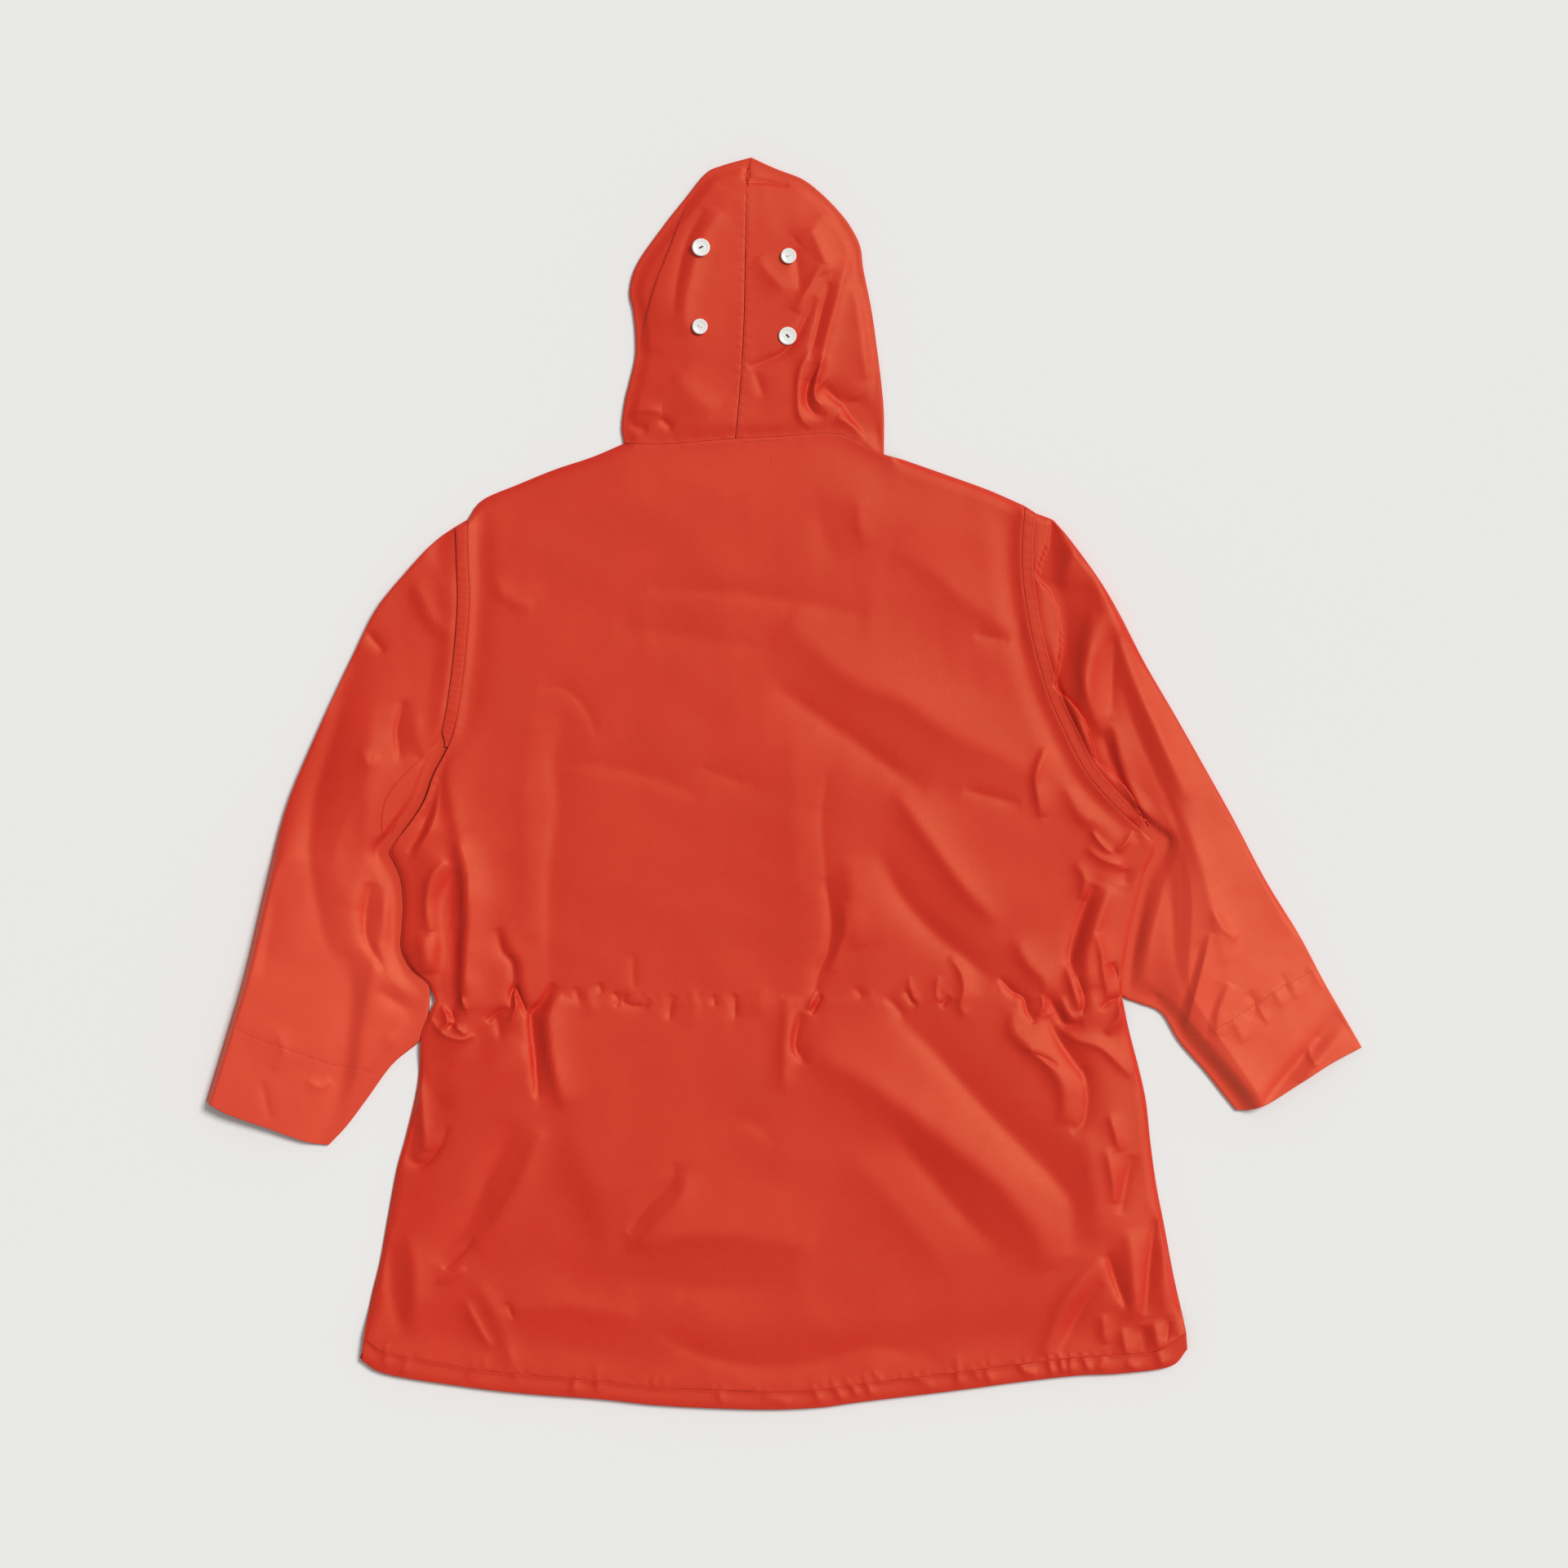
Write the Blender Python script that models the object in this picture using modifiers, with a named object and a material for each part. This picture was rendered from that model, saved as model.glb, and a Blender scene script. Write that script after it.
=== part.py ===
"""Hooded pullover smock, laid flat on a table with its back upwards.

Frame: +X to the right of the back as seen from above, +Y from the hem to the hood, +Z up.
The origin is the middle of the smock's footprint, on the surface that it lies on.
Every size and place below is in millimetres; a mesh is turned into metres when it is placed.
"""
import math
from collections import namedtuple

import bmesh
import bpy
import numpy as np
from mathutils import Vector
from mathutils.bvhtree import BVHTree

MM = 0.001                 # metres in a millimetre
NAME = "smock"

# ---- cloth ------------------------------------------------------------------------------
CLOTH = 1.2                # wall of every cloth piece
GAP = 0.3                  # clearance at a seam and between layers that touch
CURVED_GAP = 0.5           # the same along a curved seam, where straight cell edges cut in
FOLD_RADIUS = 1.7          # outside of the roll where a layer turns back under itself
ROLLED = 2 * FOLD_RADIUS   # height of the upper layer beside such a roll
LAID = 3.4                 # usual height of an upper layer over the layer below it
LOWEST = 2 * CLOTH + GAP + 0.1   # an upper layer's outside is never lower than this

# ---- colours ----------------------------------------------------------------------------
ORANGE_RED = (0.62, 0.055, 0.028, 1.0)
BUTTON_WHITE = (0.86, 0.85, 0.82, 1.0)

# ---- outlines, as points (x, y) that a smooth curve passes through ------------------------
SHOULDER_LEFT = ((-279, 232), (-266, 249), (-234, 263), (-202, 276), (-169, 287), (-141, 299))
NECK = ((-141, 299), (-107, 298), (-43, 303), (0, 305), (35, 308), (58, 304), (86, 290),
        (104, 285))
SHOULDER_RIGHT = ((104, 285), (144, 271), (180, 258), (212, 244))
ARMHOLE_LEFT = ((-279, 232), (-278, 193), (-277, 164), (-279, 128), (-284, 82), (-292, 40),
                (-308, 7), (-319, -21), (-348, -61))
ARMHOLE_RIGHT = ((212, 244), (209, 203), (212, 163), (220, 121), (233, 77), (247, 45),
                 (266, 9), (289, -18), (308, -36), (328, -53))
SIDE_LEFT = ((-348, -61), (-338, -82), (-335, -105), (-336, -127), (-337, -146), (-328, -164),
             (-313, -177), (-307, -192))
SIDE_RIGHT = ((328, -53), (324, -66), (318, -77), (313, -95), (307, -119), (302, -142),
              (299, -167), (298, -190))
SKIRT_LEFT = ((-307, -192), (-312, -203), (-318, -217), (-320, -228), (-323, -267),
              (-333, -311), (-341, -340), (-349, -383), (-356, -422), (-364, -455), (-370, -489))
SKIRT_RIGHT = ((298, -190), (302, -210), (307, -230), (313, -253), (319, -281), (323, -318),
               (328, -354), (335, -390), (343, -433), (351, -469), (354, -484))
HEM_STITCHING = ((-370, -489), (-349, -502), (-280, -515), (-228, -521), (-161, -527),
                 (-114, -532), (-59, -534), (-8, -536), (33, -534), (70, -529), (153, -519),
                 (205, -512), (258, -506), (298, -503), (328, -500), (354, -484))
HEM = ((-372, -509), (-349, -521), (-280, -532), (-228, -538), (-161, -543), (-114, -548),
       (-59, -551), (-8, -552), (33, -550), (70, -545), (153, -535), (205, -528), (258, -522),
       (298, -520), (340, -514), (355, -499))

SLEEVE_OUTER_LEFT = ((-288, 230), (-310, 211), (-338, 180), (-359, 154), (-377, 118),
                     (-396, 78), (-418, 29), (-439, -23), (-457, -91), (-475, -167),
                     (-491, -221), (-509, -280))
SLEEVE_TAIL_LEFT = ((-335, -62), (-326, -80), (-313, -94))      # under the back's corner
SLEEVE_INNER_LEFT = ((-309, -104), (-309, -126), (-309, -148), (-311, -170), (-312, -190),
                     (-313, -204), (-316, -218), (-321, -228), (-345, -248), (-367, -278),
                     (-385, -302), (-401, -319))
CUFF_LEFT = ((-509, -280), (-490, -291), (-454, -304), (-421, -316), (-401, -319))
SLEEVE_OUTER_RIGHT = ((222, 243), (238, 231), (273, 186), (295, 150), (317, 107), (342, 64),
                      (367, 20), (396, -32), (425, -87), (454, -134), (475, -174), (493, -205),
                      (509, -233))
SLEEVE_TAIL_RIGHT = ((312, -55), (304, -73), (292, -88))
SLEEVE_INNER_RIGHT = ((288, -98), (285, -120), (284, -146), (286, -165), (291, -179),
                      (299, -189), (315, -195), (333, -203), (348, -228), (370, -253),
                      (385, -272), (398, -288))
CUFF_RIGHT = ((509, -233), (482, -247), (455, -264), (426, -282), (409, -288), (398, -288))

HOOD_SEAM = ((-43, 303), (-40, 333), (-38, 357), (-36, 389), (-35, 417), (-34, 470),
             (-33, 515), (-31, 538))
HOOD_EDGE_LEFT = ((-141, 300), (-143, 315), (-140, 338), (-136, 354), (-131, 376), (-131, 398),
                  (-133, 416), (-136, 434), (-129, 458), (-106, 491), (-87, 515), (-69, 537),
                  (-54, 544), (-29, 551))
HOOD_EDGE_RIGHT = ((88, 291), (88, 325), (86, 350), (82, 382), (77, 417), (70, 452), (67, 473),
                   (58, 491), (47, 505), (32, 520), (16, 532), (-7, 541), (-29, 551))

FRONT_NECKLINE = ((-137, 294), (-118, 295), (-92, 294), (-60, 268), (-20, 256), (25, 262),
                  (58, 288), (86, 285), (100, 281))
FRONT_ARMHOLE_LEFT = ((-276, 226), (-275, 193), (-274, 164), (-276, 128), (-281, 82),
                      (-289, 40), (-301, 7), (-314, -19), (-329, -48))
FRONT_ARMHOLE_RIGHT = ((209, 238), (206, 203), (209, 163), (217, 121), (230, 77), (244, 45),
                       (262, 6), (283, -21), (306, -45))
FRONT_SIDE_LEFT = ((-329, -48), (-328, -62), (-320, -77), (-307, -93), (-303, -108),
                   (-303, -146), (-304, -170), (-303, -192))
FRONT_SIDE_RIGHT = ((306, -45), (306, -56), (298, -71), (286, -86), (281, -98), (279, -120),
                    (278, -146), (279, -168), (284, -192))
FRONT_SKIRT_LEFT = ((-303, -192), (-306, -207), (-312, -232), (-318, -267), (-328, -311),
                    (-344, -383), (-359, -455), (-366, -489))
FRONT_SKIRT_RIGHT = ((284, -192), (294, -214), (305, -250), (314, -281), (323, -354),
                     (338, -433), (349, -484))
FRONT_STITCHING = ((-366, -489), (-349, -499), (-280, -512), (-161, -524), (-59, -531),
                   (-8, -533), (70, -527), (153, -517), (258, -504), (328, -498), (349, -484))
FRONT_HEM = ((-374, -507), (-349, -519), (-280, -530), (-161, -541), (-59, -549), (-8, -550),
             (70, -543), (153, -533), (258, -520), (336, -513), (352, -499))

# ---- folds: a crest, or a trough where the height is below zero, through three points -----
Fold = namedtuple("Fold", "x0 y0 x1 y1 x2 y2 width height")
BACK_FOLDS = (
    Fold(-308, 1, -279, -84, -281, -186, 11, 4.5),      # crest beside the left side seam
    Fold(-287, -82, -297, -123, -291, -203, 5.5, -5),   # deep pleat beside that crest
    Fold(-310, -19, -325, -59, -337, -80, 5, -2),
    Fold(-317, -138, -320, -149, -322, -163, 11, 5),    # puff over the left waist
    Fold(-259, -95, -256, -138, -256, -185, 13, 3.5),
    Fold(-241, -88, -235, -138, -233, -178, 5, -3),
    Fold(-230, -203, -225, -239, -216, -278, 9, 6),     # left wall of the pleat below the waist
    Fold(-210, -180, -221, -212, -212, -271, 6, -4.5),
    Fold(-194, -1, -194, -102, -194, -181, 12, -3),
    Fold(-176, 0, -174, -100, -172, -170, 16, 3),
    Fold(-194, 13, -137, 10, -79, -12, 7, -2.5),
    Fold(-259, 186, -251, 165, -223, 149, 8, -2.5),
    Fold(-144, 168, -86, 159, -43, 156, 9, -2),
    Fold(-7, 136, 86, 57, 173, -37, 18, -3),
    Fold(29, 143, 115, 78, 216, -1, 20, 3),
    Fold(32, 13, 36, -66, 40, -150, 10, -3),
    Fold(31, -192, 9, -224, 22, -249, 6, -3),
    Fold(6, -206, 0, -239, 11, -267, 8, 3),
    Fold(234, 31, 229, 2, 232, -30, 8, 4),
    Fold(267, -57, 284, -70, 301, -74, 5, 3),           # crinkles under the right armhole
    Fold(307, -38, 301, -49, 293, -58, 5, 2.5),
    Fold(279, -86, 264, -113, 251, -149, 8, 5),         # long crease beside the right seam
    Fold(287, -95, 272, -123, 261, -156, 7, -2.5),
    Fold(277, -131, 291, -144, 281, -165, 6, 3),
    Fold(232, -190, 235, -217, 256, -247, 6, -4),
    Fold(204, -207, 217, -239, 261, -260, 9, 5),        # bright roll below the right waist
    Fold(261, -260, 263, -282, 258, -300, 9, 4),
    Fold(243, -216, 277, -233, 306, -257, 8, 3.5),
    Fold(94, -221, 158, -282, 245, -375, 20, 4),
    Fold(-306, -440, -259, -368, -210, -296, 14, 3.5),
    Fold(-317, -412, -274, -347, -232, -290, 14, -2),
    Fold(-333, -271, -329, -318, -310, -331, 7, -2.5),
    Fold(-90, -347, -104, -372, -133, -390, 8, -2),
    Fold(-50, -305, -22, -302, -4, -314, 9, 2),
    Fold(269, -447, 241, -475, 228, -497, 10, 3.5),
    Fold(314, -390, 312, -433, 309, -469, 9, 3.5),
    Fold(-43, -500, 0, -507, 40, -500, 24, -1.5),
)
SLEEVE_FOLDS_LEFT = (
    Fold(-354, -87, -370, -131, -350, -170, 9, -3),
    Fold(-382, -73, -389, -123, -367, -195, 14, 4),
    Fold(-396, -15, -410, -87, -395, -165, 11, -3),
    Fold(-374, 78, -418, -30, -446, -138, 22, 3.5),
    Fold(-310, 186, -328, 114, -331, 49, 13, -3),
    Fold(-400, -240, -413, -265, -417, -290, 11, 2.5),
)
SLEEVE_FOLDS_RIGHT = (
    Fold(250, 205, 262, 143, 262, 70, 12, -3),
    Fold(287, 142, 276, 85, 277, 16, 10, 5),
    Fold(300, 128, 298, 71, 300, 20, 10, -3),
    Fold(308, 36, 319, -6, 332, -73, 10, 4),
    Fold(327, -80, 333, -125, 324, -160, 9, 5),
    Fold(344, -160, 348, -190, 350, -222, 8, 4),
    Fold(366, -168, 362, -190, 361, -209, 8, 3),
    Fold(402, -235, 417, -262, 424, -278, 10, 4.5),
    Fold(449, -238, 431, -262, 427, -277, 8, -3.5),
    Fold(491, -191, 477, -203, 453, -235, 8, -3),
    Fold(288, 157, 353, 20, 432, -123, 17, 3),
)
HOOD_FOLDS = (
    Fold(68, 463, 56, 445, 47, 406, 8, -3),
    Fold(30, 380, 14, 341, 30, 310, 6, 4.5),            # tucks at the right of the neck
    Fold(29, 362, 22, 344, 25, 322, 5, -4),
    Fold(45, 413, 36, 366, 29, 340, 6, 5),
    Fold(36, 354, 58, 328, 80, 303, 9, -4),
    Fold(80, 382, 70, 345, 80, 312, 9, 5),
    Fold(24, 418, 7, 391, -24, 365, 8, -2.5),
    Fold(-136, 318, -120, 325, -100, 316, 7, -2),
    Fold(-70, 480, -88, 440, -92, 400, 16, 3),
)

# ---- ledges: the cloth drops by a height across a path, and climbs back within a reach -----
Ledge = namedtuple("Ledge", "path height reach")
HOOD_LEDGE = Ledge(((-69, 537), (-92, 492), (-103, 461), (-117, 420), (-128, 382)), 4, 34)
FLAP_LEDGE = Ledge(((-294, 41), (-313, 24), (-347, -6), (-352, -33), (-350, -58)), 4, 24)
PUFF_LEDGE = Ledge(((324, -40), (312, -23), (302, -5), (276, 13), (265, 56), (246, 81),
                    (246, 114), (243, 154), (230, 179), (235, 197), (238, 229)), 3.5, 22)

# ---- gathers: even runs of small crests across the waist drawcord or along the hem --------
Gathers = namedtuple("Gathers", "x0 y0 x1 y1 count width height above below")
WAIST_GATHERS = (
    Gathers(-303, -194, -196, -193, 8, 4.5, 4.5, 26, 17),
    Gathers(-190, -189, 20, -190, 8, 6.0, 1.6, 15, 12),
    Gathers(30, -190, 176, -184, 6, 6.0, 2.2, 20, 14),
    Gathers(188, -188, 294, -191, 8, 4.5, 4.5, 28, 18),
)
HEM_PUCKERS = (
    Gathers(-355, -506, -262, -520, 6, 5.0, 1.2, 12, 16),
    Gathers(-240, -525, 60, -536, 11, 6.0, 0.9, 10, 14),
    Gathers(76, -533, 330, -505, 14, 5.5, 1.6, 14, 16),
)

# ---- hem casings and seam bands -----------------------------------------------------------
CASING_HEIGHT = 3.0        # a doubled hem with its cord, from under to over
CASING_GAP = 0.3           # between the front's casing and the back's
HEM_TOP = 2 * CASING_HEIGHT + CASING_GAP
HEM_CLIMB = 34             # how far above the hem stitching the back starts to climb on it
BAND = 10                  # lapped armhole seam
SIDE_TURN = 5              # the back's edge turns down over the front's within this
HOOD_UNDER = 62            # the hood's under layer, from its edge to the face opening
SEAM_SHARE_LEFT = 0.62     # the left band goes under a flap of sleeve after this share
TAIL_START = 0.94          # share of the armhole where the sleeve goes under the body's corner
COVER_STEPS = 32           # steps of the body's side that lie over a sleeve

# ---- buttons -------------------------------------------------------------------------------
Button = namedtuple("Button", "x y diameter")
BUTTONS = (Button(-73, 470, 15.8), Button(4, 463, 13.7), Button(-74, 401, 13.7),
           Button(3, 393, 15.8))
BUTTON_THICK = 2.6
BUTTON_RIM = 1.6           # width of the raised rim
BUTTON_DISH = 0.6          # how far the middle lies below the rim
BUTTON_SIDES = 14
BUTTON_MARGIN = 1.0        # the seat is felt for this far past the edge

# ---- mesh density --------------------------------------------------------------------------
BACK_COLUMNS, BACK_ROWS = 22, 24
NECK_LEFT_COLUMN, NECK_RIGHT_COLUMN = 6, 17
FRONT_COLUMNS, FRONT_ROWS = 14, 15
WAIST_ROW, UNDERARM_ROW = 10, 15
SLEEVE_COLUMNS, SLEEVE_ROWS = 12, 14
HOOD_COLUMNS, HOOD_ROWS = 8, 14
SEAM_END = 10 / SLEEVE_COLUMNS   # share of the sleeve's first row that lies along the armhole


def smooth(points, steps=10):
    """Return a dense Catmull-Rom curve through the points, as rows of x and y."""
    knots = np.array(points, float)
    ends = (2 * knots[0] - knots[1], 2 * knots[-1] - knots[-2])
    held = np.vstack((ends[0], knots, ends[1]))
    t = np.linspace(0, 1, steps, endpoint=False)[:, None]
    spans = []
    for a, b, c, d in zip(held, held[1:], held[2:], held[3:]):
        spans.append(b + 0.5 * t * (c - a + t * (2 * a - 5 * b + 4 * c - d
                                                 + t * (3 * (b - c) + d - a))))
    return np.vstack(spans + [knots[-1:]])


def trace(*arcs):
    """Join arcs, each (share of the way at its end, points), into a function of the share."""
    shares, path = [], []
    start = 0.0
    for end, points in arcs:
        curve = smooth(points)
        steps = np.linalg.norm(np.diff(curve, axis=0), axis=1)
        along = np.concatenate(([0.0], np.cumsum(steps))) / steps.sum()
        shares.append(start + (end - start) * along)
        path.append(curve)
        start = end
    shares = np.concatenate(shares)
    path = np.vstack(path)

    def at(share):
        return np.stack([np.interp(share, shares, path[:, k]) for k in (0, 1)], axis=-1)
    return at


def across(edge, share):
    """Return the unit direction to the left of an edge's run, at each share."""
    step = 0.004
    run = edge(np.clip(share + step, 0, 1)) - edge(np.clip(share - step, 0, 1))
    left = np.stack((-run[:, 1], run[:, 0]), axis=-1)
    return left / np.linalg.norm(left, axis=1, keepdims=True)


def moved_aside(edge, distance):
    """Return the edge moved to the left of its run by a distance."""
    def at(share):
        share = np.atleast_1d(np.asarray(share, float))
        return edge(share) + distance * across(edge, share)
    return at


def patch(low, high, left, right):
    """Fill four edges with a Coons patch; u runs from left to right and v from low to high."""
    corner = [np.ravel(edge(end)) for edge in (low, high) for end in (0.0, 1.0)]

    def at(u, v):
        a, b = u[:, None], v[:, None]
        ruled = (1 - b) * low(u) + b * high(u) + (1 - a) * left(v) + a * right(v)
        twice = ((1 - a) * (1 - b) * corner[0] + a * (1 - b) * corner[1]
                 + (1 - a) * b * corner[2] + a * b * corner[3])
        return ruled - twice
    return at


def relaxed(surface, cells=36, sweeps=500):
    """Return a surface with its inner places spread out so that no two lines cross."""
    shares = np.linspace(0, 1, cells + 1)
    s, t = np.meshgrid(shares, shares)
    net = surface(s.ravel(), t.ravel()).reshape(cells + 1, cells + 1, 2)
    for _ in range(sweeps):
        across_by = (net[1:-1, 2:] - net[1:-1, :-2]) / 2
        along_by = (net[2:, 1:-1] - net[:-2, 1:-1]) / 2
        a = (along_by ** 2).sum(axis=2, keepdims=True)
        b = (across_by * along_by).sum(axis=2, keepdims=True)
        c = (across_by ** 2).sum(axis=2, keepdims=True)
        twist = net[2:, 2:] - net[2:, :-2] - net[:-2, 2:] + net[:-2, :-2]
        net[1:-1, 1:-1] = (a * (net[1:-1, 2:] + net[1:-1, :-2])
                           + c * (net[2:, 1:-1] + net[:-2, 1:-1])
                           - b * twist / 2) / (2 * (a + c))

    def at(share, t):
        x, y = share * cells, t * cells
        i, j = (np.minimum(value.astype(int), cells - 1) for value in (x, y))
        fx, fy = (x - i)[:, None], (y - j)[:, None]
        low = net[j, i] * (1 - fx) + net[j, i + 1] * fx
        high = net[j + 1, i] * (1 - fx) + net[j + 1, i + 1] * fx
        return low * (1 - fy) + high * fy
    return at


def ease(value, start, end):
    """Return 0 before start, 1 after end and a smooth step between them."""
    t = np.clip((value - start) / (end - start), 0, 1)
    return t * t * (3 - 2 * t)


def nearest(x, y, path):
    """Return the distance to a path, which side of it a point is on, and how far along."""
    best = np.full(np.shape(x), 1e9)
    side = np.zeros_like(best)
    along = np.zeros_like(best)
    count = len(path) - 1
    for k, ((ax, ay), (bx, by)) in enumerate(zip(path, path[1:])):
        dx, dy = bx - ax, by - ay
        t = np.clip(((x - ax) * dx + (y - ay) * dy) / (dx * dx + dy * dy), 0, 1)
        away = np.hypot(x - ax - t * dx, y - ay - t * dy)
        closer = away < best
        best = np.where(closer, away, best)
        side = np.where(closer, np.sign(dx * (y - ay) - dy * (x - ax)), side)
        along = np.where(closer, (k + t) / count, along)
    return best, side, along


def bent(fold):
    """Return a fold's path as a parabola from its first point to its last through the middle."""
    t = np.linspace(0, 1, 7)[:, None]
    a, b, c = (np.array(fold[k:k + 2], float) for k in (0, 2, 4))
    return a + t * (4 * b - 3 * a - c) + 2 * t * t * (a - 2 * b + c)


def relief(x, y, folds):
    """Return the height that a list of folds adds at each point."""
    height = np.zeros(np.shape(x))
    for fold in folds:
        away, _, along = nearest(x, y, bent(fold))
        fade = (4 * along * (1 - along)) ** 0.5
        height += fold.height * (0.25 + 0.75 * fade) * np.exp(-(away / fold.width) ** 2)
    return height


def step_down(x, y, ledge):
    """Return the height of the cloth beside a ledge: raised on its left, within its reach."""
    away, side, along = nearest(x, y, smooth(ledge.path, 4))
    fade = np.sqrt(np.clip(6 * along * (1 - along), 0, 1))
    return ledge.height * fade * (side > 0) * np.exp(-(away / ledge.reach) ** 2)


def uneven(number, spread):
    """Return a fixed offset within the spread, different for each number."""
    return spread * math.sin(12.9898 * number + 4.1414)


def gathered(runs, lean):
    """Turn runs of gathers into folds; lean tilts their upper ends away from the middle."""
    folds = []
    for run in runs:
        pitch = (run.x1 - run.x0) / run.count
        for k in range(run.count):
            seed = len(folds)
            share = (k + 0.5) / run.count
            x = run.x0 + share * (run.x1 - run.x0) + uneven(seed, 0.22 * pitch)
            y = run.y0 + share * (run.y1 - run.y0)
            above = run.above * (1 + uneven(seed + 40, 0.4))
            below = run.below * (1 + uneven(seed + 80, 0.4))
            height = run.height * (1 + uneven(seed + 120, 0.3))
            tilt = uneven(seed + 160, lean)
            folds.append(Fold(x + tilt, y + above, x, y, x - tilt, y - below,
                              run.width, height))
    return tuple(folds)


def billow(x, y):
    """Return the slow rise and fall of an upper layer that isn't pressed flat."""
    return (1.1 + 0.7 * np.sin(x / 61 + y / 97 + 0.6) + 0.5 * np.sin(y / 43 - x / 130 + 2.1))


def held_up(height, lowest=LOWEST):
    """Keep a height above the lowest one, with a soft turn."""
    soft = 0.5
    return lowest + soft * np.logaddexp(0, (height - lowest) / soft)


BACK_RELIEF = BACK_FOLDS + gathered(WAIST_GATHERS, 4) + gathered(HEM_PUCKERS, 2)


def spaced(count, margin):
    """Return shares for a count of cells of which the first and last are a margin wide."""
    return np.concatenate(([0.0], np.linspace(margin, 1 - margin, count - 1), [1.0]))


COLUMN_SHARES = spaced(BACK_COLUMNS, SIDE_TURN / 640)
ROW_SHARES = spaced(BACK_ROWS, SIDE_TURN / 780)


def regrid(share, shares):
    """Move even shares of a grid onto uneven ones."""
    return np.interp(share, np.linspace(0, 1, len(shares)), shares)


def sleeve_under(y, top, bottom):
    """Return 1 where a sleeve lies under the body's side, from its top down to its bottom."""
    return ease(y, bottom - 26, bottom) * (1 - ease(y, top, top + 20))


def back_shape(u, v):
    """Return the outside of the back panel; u runs across and v from the hem up."""
    s, t = regrid(u, COLUMN_SHARES), regrid(v, ROW_SHARES)
    place = BACK_PATCH(s, t)
    x, y = place[:, 0], place[:, 1]
    width = 640.0
    from_left, from_right = s * width, (1 - s) * width
    on_sleeve = np.maximum(
        sleeve_under(y, -44, -232) * (1 - ease(from_left, 30, 60)),
        sleeve_under(y, -38, -200) * (1 - ease(from_right, 30, 60)))
    on_hem = 1 - ease(t * 780, 0, HEM_CLIMB)
    floor = LOWEST + on_sleeve * (ROLLED + GAP + CLOTH + 0.2 - LOWEST)
    floor = np.maximum(floor, LOWEST + on_hem * (HEM_TOP - LOWEST))
    height = LAID + billow(x, y) + relief(x, y, BACK_RELIEF) + 2.4 * on_sleeve
    height = held_up(height + on_hem * (HEM_TOP - LAID - 1.0), floor)
    # the sides and shoulders turn down over the front panel, or onto the sleeve
    in_neck = (s > COLUMN_SHARES[NECK_LEFT_COLUMN]) & (s < COLUMN_SHARES[NECK_RIGHT_COLUMN])
    below_arm = t < ROW_SHARES[UNDERARM_ROW] + 0.001
    turn = np.where(below_arm, 1 - ease(np.minimum(from_left, from_right), 0, SIDE_TURN), 0.0)
    turn = np.maximum(turn, np.where(in_neck, 0.0, 1 - ease((1 - t) * 780, 0, SIDE_TURN)))
    rest = GAP + CLOTH + on_sleeve * ROLLED + on_hem * (HEM_TOP - GAP - CLOTH)
    height = height * (1 - turn) + rest * turn
    return np.column_stack((x, y, height))


def front_shape(u, v):
    """Return the underside of the front panel, flat on the surface that it lies on."""
    place = FRONT_PATCH(u, v)
    return np.column_stack((place, np.zeros(len(u))))


def rolled(turns, rising):
    """Return stops (share, inset, lift) round the rolled edge where two layers meet."""
    stops = []
    for k in range(turns + 1):
        angle = math.pi * (k / turns - 0.5)
        lift = 0.5 * (1 + math.sin(angle))
        stops.append((0.0, FOLD_RADIUS * (1 - math.cos(angle)), lift))
    return stops if rising else stops[::-1]


def tube_stops(upper, under, turns=4):
    """Return the stops round a flattened tube, from the outer edge over the top and back."""
    half = turns // 2
    edge = rolled(turns, True)
    over = [(k / upper, FOLD_RADIUS * (1 - 2 * k / upper), 1.0) for k in range(1, upper)]
    beneath = [(k / under, FOLD_RADIUS * (1 - 2 * k / under), 0.0) for k in range(under - 1, 0, -1)]
    inner = [(1.0, -inset, lift) for _, inset, lift in reversed(edge)]
    return np.array(edge[half:] + over + inner + beneath + edge[:half + 1])


def hood_stops(upper, under, turns=4):
    """Return the stops from the centre seam over the hood's side to the face opening."""
    over = [(k / upper, FOLD_RADIUS * (1 - k / upper), 1.0) for k in range(upper, 0, -1)]
    beneath = [(0.0, FOLD_RADIUS + (HOOD_UNDER - FOLD_RADIUS) * k / under, 0.0)
               for k in range(1, under + 1)]
    return np.array(over + rolled(turns, False) + beneath)


def casing_stops(depth, turns=2):
    """Return the stops from the stitching over a hem's edge and back under to it."""
    over = [(0.0, depth, 1.0), (0.0, depth / 2, 1.0)]
    return np.array(over + rolled(turns, False) + [(0.0, depth, 0.0)])


def on_stops(share, stops):
    """Return share, inset and lift at shares of the way over evenly spaced stops."""
    even = np.linspace(0, 1, len(stops))
    return [np.interp(share, even, stops[:, k]) for k in range(3)]


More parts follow.
